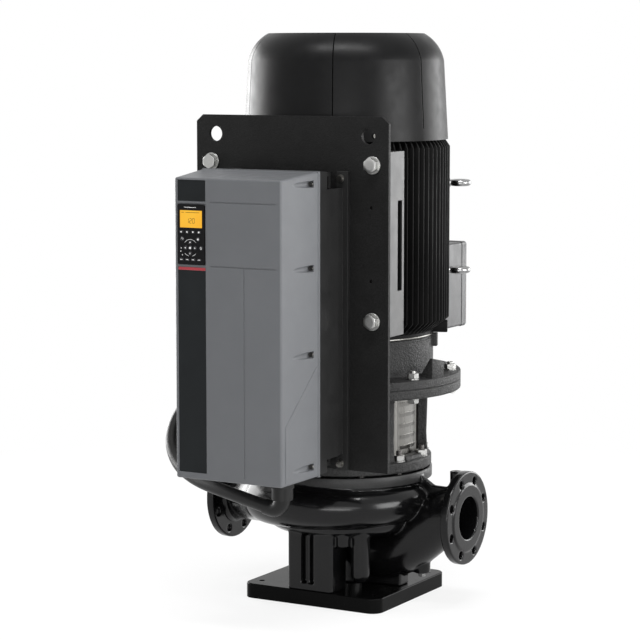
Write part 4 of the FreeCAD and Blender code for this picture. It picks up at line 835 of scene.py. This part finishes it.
def make_fan_cover():
    bm = bmesh.new()
    angles = cover_angles()
    rings = [cover_ring(bm, radius, height, angles, height > groove_start and radius > groove_inner)
             for radius, height in cover_profile(0.0)]
    rings += [cover_ring(bm, radius, height, angles, False)
              for radius, height in cover_profile(cover_sheet)[::-1]]
    join_rings(bm, rings, closed=True)
    bm.faces.ensure_lookup_table()
    # faces inside a groove take the second finish, a painted shade
    for number, face in enumerate(bm.faces):
        i = number % len(angles)
        grooved = angles[i][1] + angles[(i + 1) % len(angles)][1] > 0
        if grooved and number < len(angles) * (len(rings) - 1):
            face.material_index = 1 if min(v.co.z for v in face.verts) > groove_start * MM else 0
    for radius in (25.0, 64.0, 103.0):
        turned(bm, [(radius - 5, 1337.6), (radius + 5, 1337.6), (radius + 5, 1339.4),
                    (radius + 4.4, cover_top), (radius - 4.4, cover_top), (radius - 5, 1339.4)],
               Matrix(), 72, closed=True)
    for i in range(6):
        add_box(bm, turned_about_pump(60 * i), (22.0, 148.0), (-4.0, 4.0), (1337.7, 1339.8), 0.5)
    made = finished_piece("drawn_fan_cover", bm, "cover_black", sharp_from=28.0)
    made.data.materials.append(finishes["groove_painted_shade"])
    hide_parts("fan_cover")
    return made


print("cover faces", len(make_fan_cover().data.polygons))

# %% [markdown]
# ## The motor's lower shield
#
# The shield is one casting: a flange, a short neck and lugs between the bolts. Its neck ends in a fine
# groove below a turned ring. The turned form comes from a profile, and the lugs are prisms set into it.

# %% Shield, lugs and turned ring
shield_low, shield_face, shield_top = 524.0, 544.5, 629.0
shield_rim, shield_neck, shield_bore = 275.0, 209.0, 193.0
neck_fillet = 7.0


def add_prism(bm, place, outline, half_width, drop):
    """A rounded prism along Y whose outline is (x, z); the upper edge falls by drop to its far side."""
    base = min(z for _, z in outline)
    sides = []
    for y, fall in ((-half_width, 0.0), (half_width, drop)):
        corners = [Vector((x, y, z - fall if z > base + 1 else z)) for x, z in outline]
        sides.append([bm.verts.new(place @ (corner * MM)) for corner in corners])
    faces = [bm.faces.new(sides[0]), bm.faces.new(sides[1][::-1])]
    for i in range(len(outline)):
        j = (i + 1) % len(outline)
        faces.append(bm.faces.new((sides[0][j], sides[0][i], sides[1][i], sides[1][j])))
    bm.normal_update()
    bmesh.ops.bevel(bm, geom=list({e for f in faces for e in f.edges}), offset=1.2 * MM, segments=2,
                    affect="EDGES", profile=0.5)


def shield_profile():
    """Flange, fillet, neck with its groove, and the hollow inside, once round."""
    fillet = [(shield_neck + neck_fillet * (1 - math.sin(t)), shield_face + neck_fillet * (1 - math.cos(t)))
              for t in (math.radians(15 * k) for k in range(7))]
    flange = [(34.5, shield_low), (shield_rim - 1.5, shield_low), (shield_rim, shield_low + 1.5),
              (shield_rim, shield_face - 2.5), (shield_rim - 0.7, shield_face - 0.8),
              (shield_rim - 2.5, shield_face)]
    groove = [(shield_neck, shield_top - 5.2), (shield_neck - 1.6, shield_top - 4.6),
              (shield_neck - 1.6, shield_top - 0.6), (shield_neck - 2.2, shield_top)]
    hollow = [(shield_bore, shield_top), (shield_bore, shield_face + 6), (104.0, shield_face + 6),
              (104.0, 607.0), (85.5, 607.0), (85.5, 560.5), (34.5, 560.5)]
    return flange + fillet + groove + hollow


def make_motor_shield():
    bm = bmesh.new()
    turned(bm, shield_profile(), Matrix(), 128, closed=True)
    lug = [(212.0, -1), (271.5, -1), (271.5, 47), (264.0, 47), (240.0, 10), (212.0, 5)]
    lug = [(x, shield_face + height) for x, height in lug]
    for quarter in range(4):
        add_prism(bm, turned_about_pump(90 * quarter - 8.7), lug, 22.5, 12.5)
    for angle in (20, 160):
        add_box(bm, turned_about_pump(angle), (200.0, 220.5), (-10.0, 10.0), (603.0, 634.0), 1.5)
    made = finished_piece("cast_motor_shield", bm, "stool_iron", sharp_from=40.0)
    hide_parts("drive_end_shield")
    return made


def make_turned_ring():
    bm = bmesh.new()
    turned(bm, [(206.0, 630.2), (208.6, 630.4), (209.9, 631.6), (210.2, 633.2), (209.6, 635.4),
                (206.0, 636.6)], Matrix(), 128, closed=True)
    return finished_piece("turned_ring", bm, "stainless", sharp_from=60.0)


print("shield faces", len(make_motor_shield().data.polygons), make_turned_ring().name)

# %% [markdown]
# ## The coupling guards
#
# The guards are thin sheet, bent round the coupling. Pressed louvres let air through: each is a slit with
# a raised lip below it, and a bead runs up near each edge of the window. A grid of points on a cylinder,
# moved outwards by a small height map, gives both.

# %% Guards of pressed sheet
guard_radius, guard_low, guard_high, guard_sheet = 170.4, 347.0, 497.5, 1.5
bead_angle, bead_half, bead_height = 15.0, 0.85, 2.4
louvre_levels = (374.5, 399.5, 425.5, 451.5, 476.5)
louvre_half, louvre_depth, louvre_height = 13.2, 9.0, 2.6


def from_window(angle):
    """Degrees from the middle of the nearest window; there is one every quarter turn."""
    return (angle + 45.0) % 90.0 - 45.0


def pressed_height(angle, z):
    """How far the sheet stands out, in millimetres, at an angle and a height."""
    window = from_window(angle)
    out = 0.0
    for beside in (-bead_angle, bead_angle):
        out = max(out, bead_height * max(0.0, 1.0 - ((window - beside) / bead_half) ** 2))
    if abs(window) < louvre_half:
        ends = min(1.0, (louvre_half - abs(window)) / 1.2)
        for level in louvre_levels:
            below = level - z
            if 0.0 <= below < louvre_depth:
                out = max(out, louvre_height * ends * (1.0 - below / louvre_depth))
    return out


def guard_angles(middle):
    """Half a turn of angles: steps of 0.6 degrees across a window, of 3 degrees beside it."""
    angles = [middle - 87.0]
    while angles[-1] < middle + 86.9:
        angles.append(angles[-1] + (0.6 if -18.4 < from_window(angles[-1]) < 16.4 else 3.0))
    return angles


def add_half_guard(bm, angles, heights):
    """Two sheets of grid faces, joined along their rim."""
    sheets = []
    for inset in (0.0, guard_sheet):
        sheet = []
        for z in heights:
            radii = [guard_radius + pressed_height(a, z) - inset for a in angles]
            sheet.append([bm.verts.new(polar(r, math.radians(a), z)) for r, a in zip(radii, angles)])
        sheets.append(sheet)
    rows, columns = len(heights), len(angles)
    for sheet in sheets:
        for j in range(rows - 1):
            for i in range(columns - 1):
                bm.faces.new((sheet[j][i], sheet[j][i + 1], sheet[j + 1][i + 1], sheet[j + 1][i]))
    outer, inner = sheets
    rim = ([(0, i) for i in range(columns)] + [(j, columns - 1) for j in range(1, rows)]
           + [(rows - 1, i) for i in range(columns - 2, -1, -1)] + [(j, 0) for j in range(rows - 2, 0, -1)])
    for (j0, i0), (j1, i1) in zip(rim, rim[1:] + rim[:1]):
        bm.faces.new((outer[j1][i1], outer[j0][i0], inner[j0][i0], inner[j1][i1]))


def make_guards():
    heights = {guard_low, guard_high}
    for level in louvre_levels:
        heights |= {level - 10.0, level - louvre_depth, level - 8.0, level, level + 0.25}
    bm = bmesh.new()
    for middle in (0.0, 180.0):
        add_half_guard(bm, guard_angles(middle), sorted(heights))
    made = finished_piece("pressed_guards", bm, "stainless", sharp_from=50.0)
    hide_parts("coupling_guards")
    return made


print("guard faces", len(make_guards().data.polygons))

# %% [markdown]
# ## The drive's front
#
# The drive's cover is one moulding. Its dark strip carries the control panel between two grey bars, with
# a thin red line below. The bars, the line and the marks on the keys are thin raised pieces, so that
# they catch light at their edges. The display shows a plain number, and no name is put anywhere.

# %% Thin raised pieces
drive_front = -531.9
strip_face = drive_front + 1.5
strip_back = strip_face + 0.2
strip_left, strip_right = -128.6, -56.4
panel_front = drive_front - 2.6
key_top = panel_front - 1.4


def make_trim(name, slot, boxes, round_by, look=None):
    """One piece of flat boxes whose edges along Y are rounded."""
    bm = bmesh.new()
    for x, front, z in boxes:
        add_box(bm, Matrix(), x, (front, strip_back), z, round_by, segments=3, along=1)
    return finished_piece(name, bm, slot, look=look, sharp_from=0)


strip_x = (strip_left, strip_right)
line_x = (strip_left + 1, strip_right - 1)
trim = [make_trim("strip_bars", "drive_grey", [(strip_x, drive_front - 0.3, (966.0, 970.2)),
                                               (strip_x, drive_front - 0.3, (826.4, 830.6))], 0.8),
        make_trim("red_line", "drive_grey", [(line_x, drive_front + 0.4, (818.8, 825.0))], 0.6,
                  look="signal_red"),
        make_trim("dark_strip", "panel_black", [(strip_x, strip_face - 0.35, (367.0, 818.2)),
                                                (strip_x, strip_face - 0.35, (971.0, 1017.0))], 0.5,
                  look="strip_slate")]
print("trim", [piece.name for piece in trim])

# %% [markdown]
# ### Marks and digits
#
# Marks on keys are printed a few hundredths of a millimetre thick. Here each is a thin solid just above
# its face, so it needs no image. The keys keep plain shapes: dots, arrows, a ring. Each mark rides on its
# key's body, so it travels with the key. The display's number is made of seven-part digits.

# %% Marks on the keys and the number on the display
mark_thickness = 0.22
ring_x, ring_z, arrow_reach = -94.0, 868.0, 12.2
mark_face, display_face = panel_front - 0.08, panel_front - 0.45
digit_cell, digit_x, digit_z = 5.2, -103.5, 922.5


def flat_shape(bm, outline, front):
    """A thin solid with this outline of (x, z) millimetres, its face on the plane y = front."""
    rows = [[bm.verts.new((x * MM, y * MM, z * MM)) for x, z in outline]
            for y in (front, front + mark_thickness)]
    bm.faces.new(rows[0])
    bm.faces.new(rows[1][::-1])
    for i in range(len(outline)):
        j = (i + 1) % len(outline)
        bm.faces.new((rows[0][j], rows[0][i], rows[1][i], rows[1][j]))


def bar_outline(left, right, low, high):
    return [(left, low), (right, low), (right, high), (left, high)]


def disc_outline(x, z, radius, steps=20):
    return on_circle(x, z, radius, [2 * math.pi * i / steps for i in range(steps)])


def arc_outline(x, z, radius, width, first, last, steps=16):
    """A part of a ring between two angles in degrees."""
    angles = [math.radians(first + (last - first) * i / steps) for i in range(steps + 1)]
    return on_circle(x, z, radius, angles) + on_circle(x, z, radius - width, angles[::-1])


def arrow_outline(x, z, size, angle):
    a = math.radians(angle)
    points = [(size, 0.0), (-0.5 * size, 0.8 * size), (-0.5 * size, -0.8 * size)]
    cos, sin = math.cos(a), math.sin(a)
    return [(x + u * cos - v * sin, z + u * sin + v * cos) for u, v in points]


def key_marks():
    """The outline on each key, by the name of its node."""
    marks = {"key_back": arc_outline(-114.5, 887.5, 2.6, 0.9, -60, 200),
             "key_cancel": disc_outline(-73.5, 887.5, 2.3),
             "key_info": arc_outline(-65.5, ring_z, 2.6, 0.9, 0, 358),
             "key_ok": disc_outline(ring_x, ring_z, 2.7)}
    for name, x, z, angle in (("up", 0, 1, 90), ("down", 0, -1, 270), ("left", -1, 0, 180),
                              ("right", 1, 0, 0)):
        marks["key_" + name] = arrow_outline(ring_x + arrow_reach * x, ring_z + arrow_reach * z, 2.4, angle)
    for i in range(4):
        x = -117.0 + 15.3 * i
        marks["key_menu_%d" % (i + 1)] = disc_outline(x, 903.0, 2.0)
        marks["key_run_%d" % (i + 1)] = bar_outline(x - 3.0, x + 3.0, 841.3, 842.7)
    return marks


def body_of(node):
    held = frame["record"]["behaviour"]["bodies"]
    return next(name for name, inside in held.items() if node in inside)


def make_marks(name, slot, outlines, front, body="root", look="mark_white"):
    bm = bmesh.new()
    for outline in outlines:
        flat_shape(bm, outline, front)
    return finished_piece(name, bm, slot, body=body, look=look, sharp_from=0)


def panel_outlines():
    """The ring round the arrow keys, three lamps and the bar at the panel's head."""
    outlines = [arc_outline(ring_x, ring_z, 19.0, 0.8, first, last)
                for first, last in ((38, 142), (-140, -105), (-75, -40))]
    for x, z in ((-118.0, 867.0), (-119.0, 860.0), (-115.0, 852.0)):
        outlines.append(disc_outline(x, z, 1.3, 12))
    return outlines + [bar_outline(-110.0, -79.0, 956.6, 957.8)]


def digit_bars(figure):
    """The lit bars of a digit in a cell 1 wide and 2 high: (x, z, upright)."""
    bars = {"a": (0.5, 2.0, False), "b": (1.0, 1.5, True), "c": (1.0, 0.5, True), "d": (0.5, 0.0, False),
            "e": (0.0, 0.5, True), "f": (0.0, 1.5, True), "g": (0.5, 1.0, False)}
    lit = {"0": "abcdef", "1": "bc", "2": "abged"}[figure]
    return [bars[name] for name in lit]


def display_outlines(text):
    """A plain number in the middle of the display, and two thin lines above it."""
    outlines = []
    for i, figure in enumerate(text):
        for x, z, is_upright in digit_bars(figure):
            cx, cz = digit_x + (i * 1.5 + x) * digit_cell, digit_z + z * digit_cell
            wide, high = (0.45, 2.2) if is_upright else (2.2, 0.45)
            outlines.append(bar_outline(cx - wide, cx + wide, cz - high, cz + high))
    for left, right in ((-117.0, -110.0), (-106.0, -70.0)):
        outlines.append(bar_outline(left, right, 945.5, 946.4))
    return outlines


for key, outline in key_marks().items():
    make_marks("mark_" + key, "key_dark", [outline], key_top - 0.02, body=body_of(key))
panel_marks = make_marks("panel_marks", "panel_black", panel_outlines(), mark_face)
number = make_marks("display_number", "panel_black", display_outlines("120"), display_face, look=None)
print("marks", panel_marks.name, number.name)
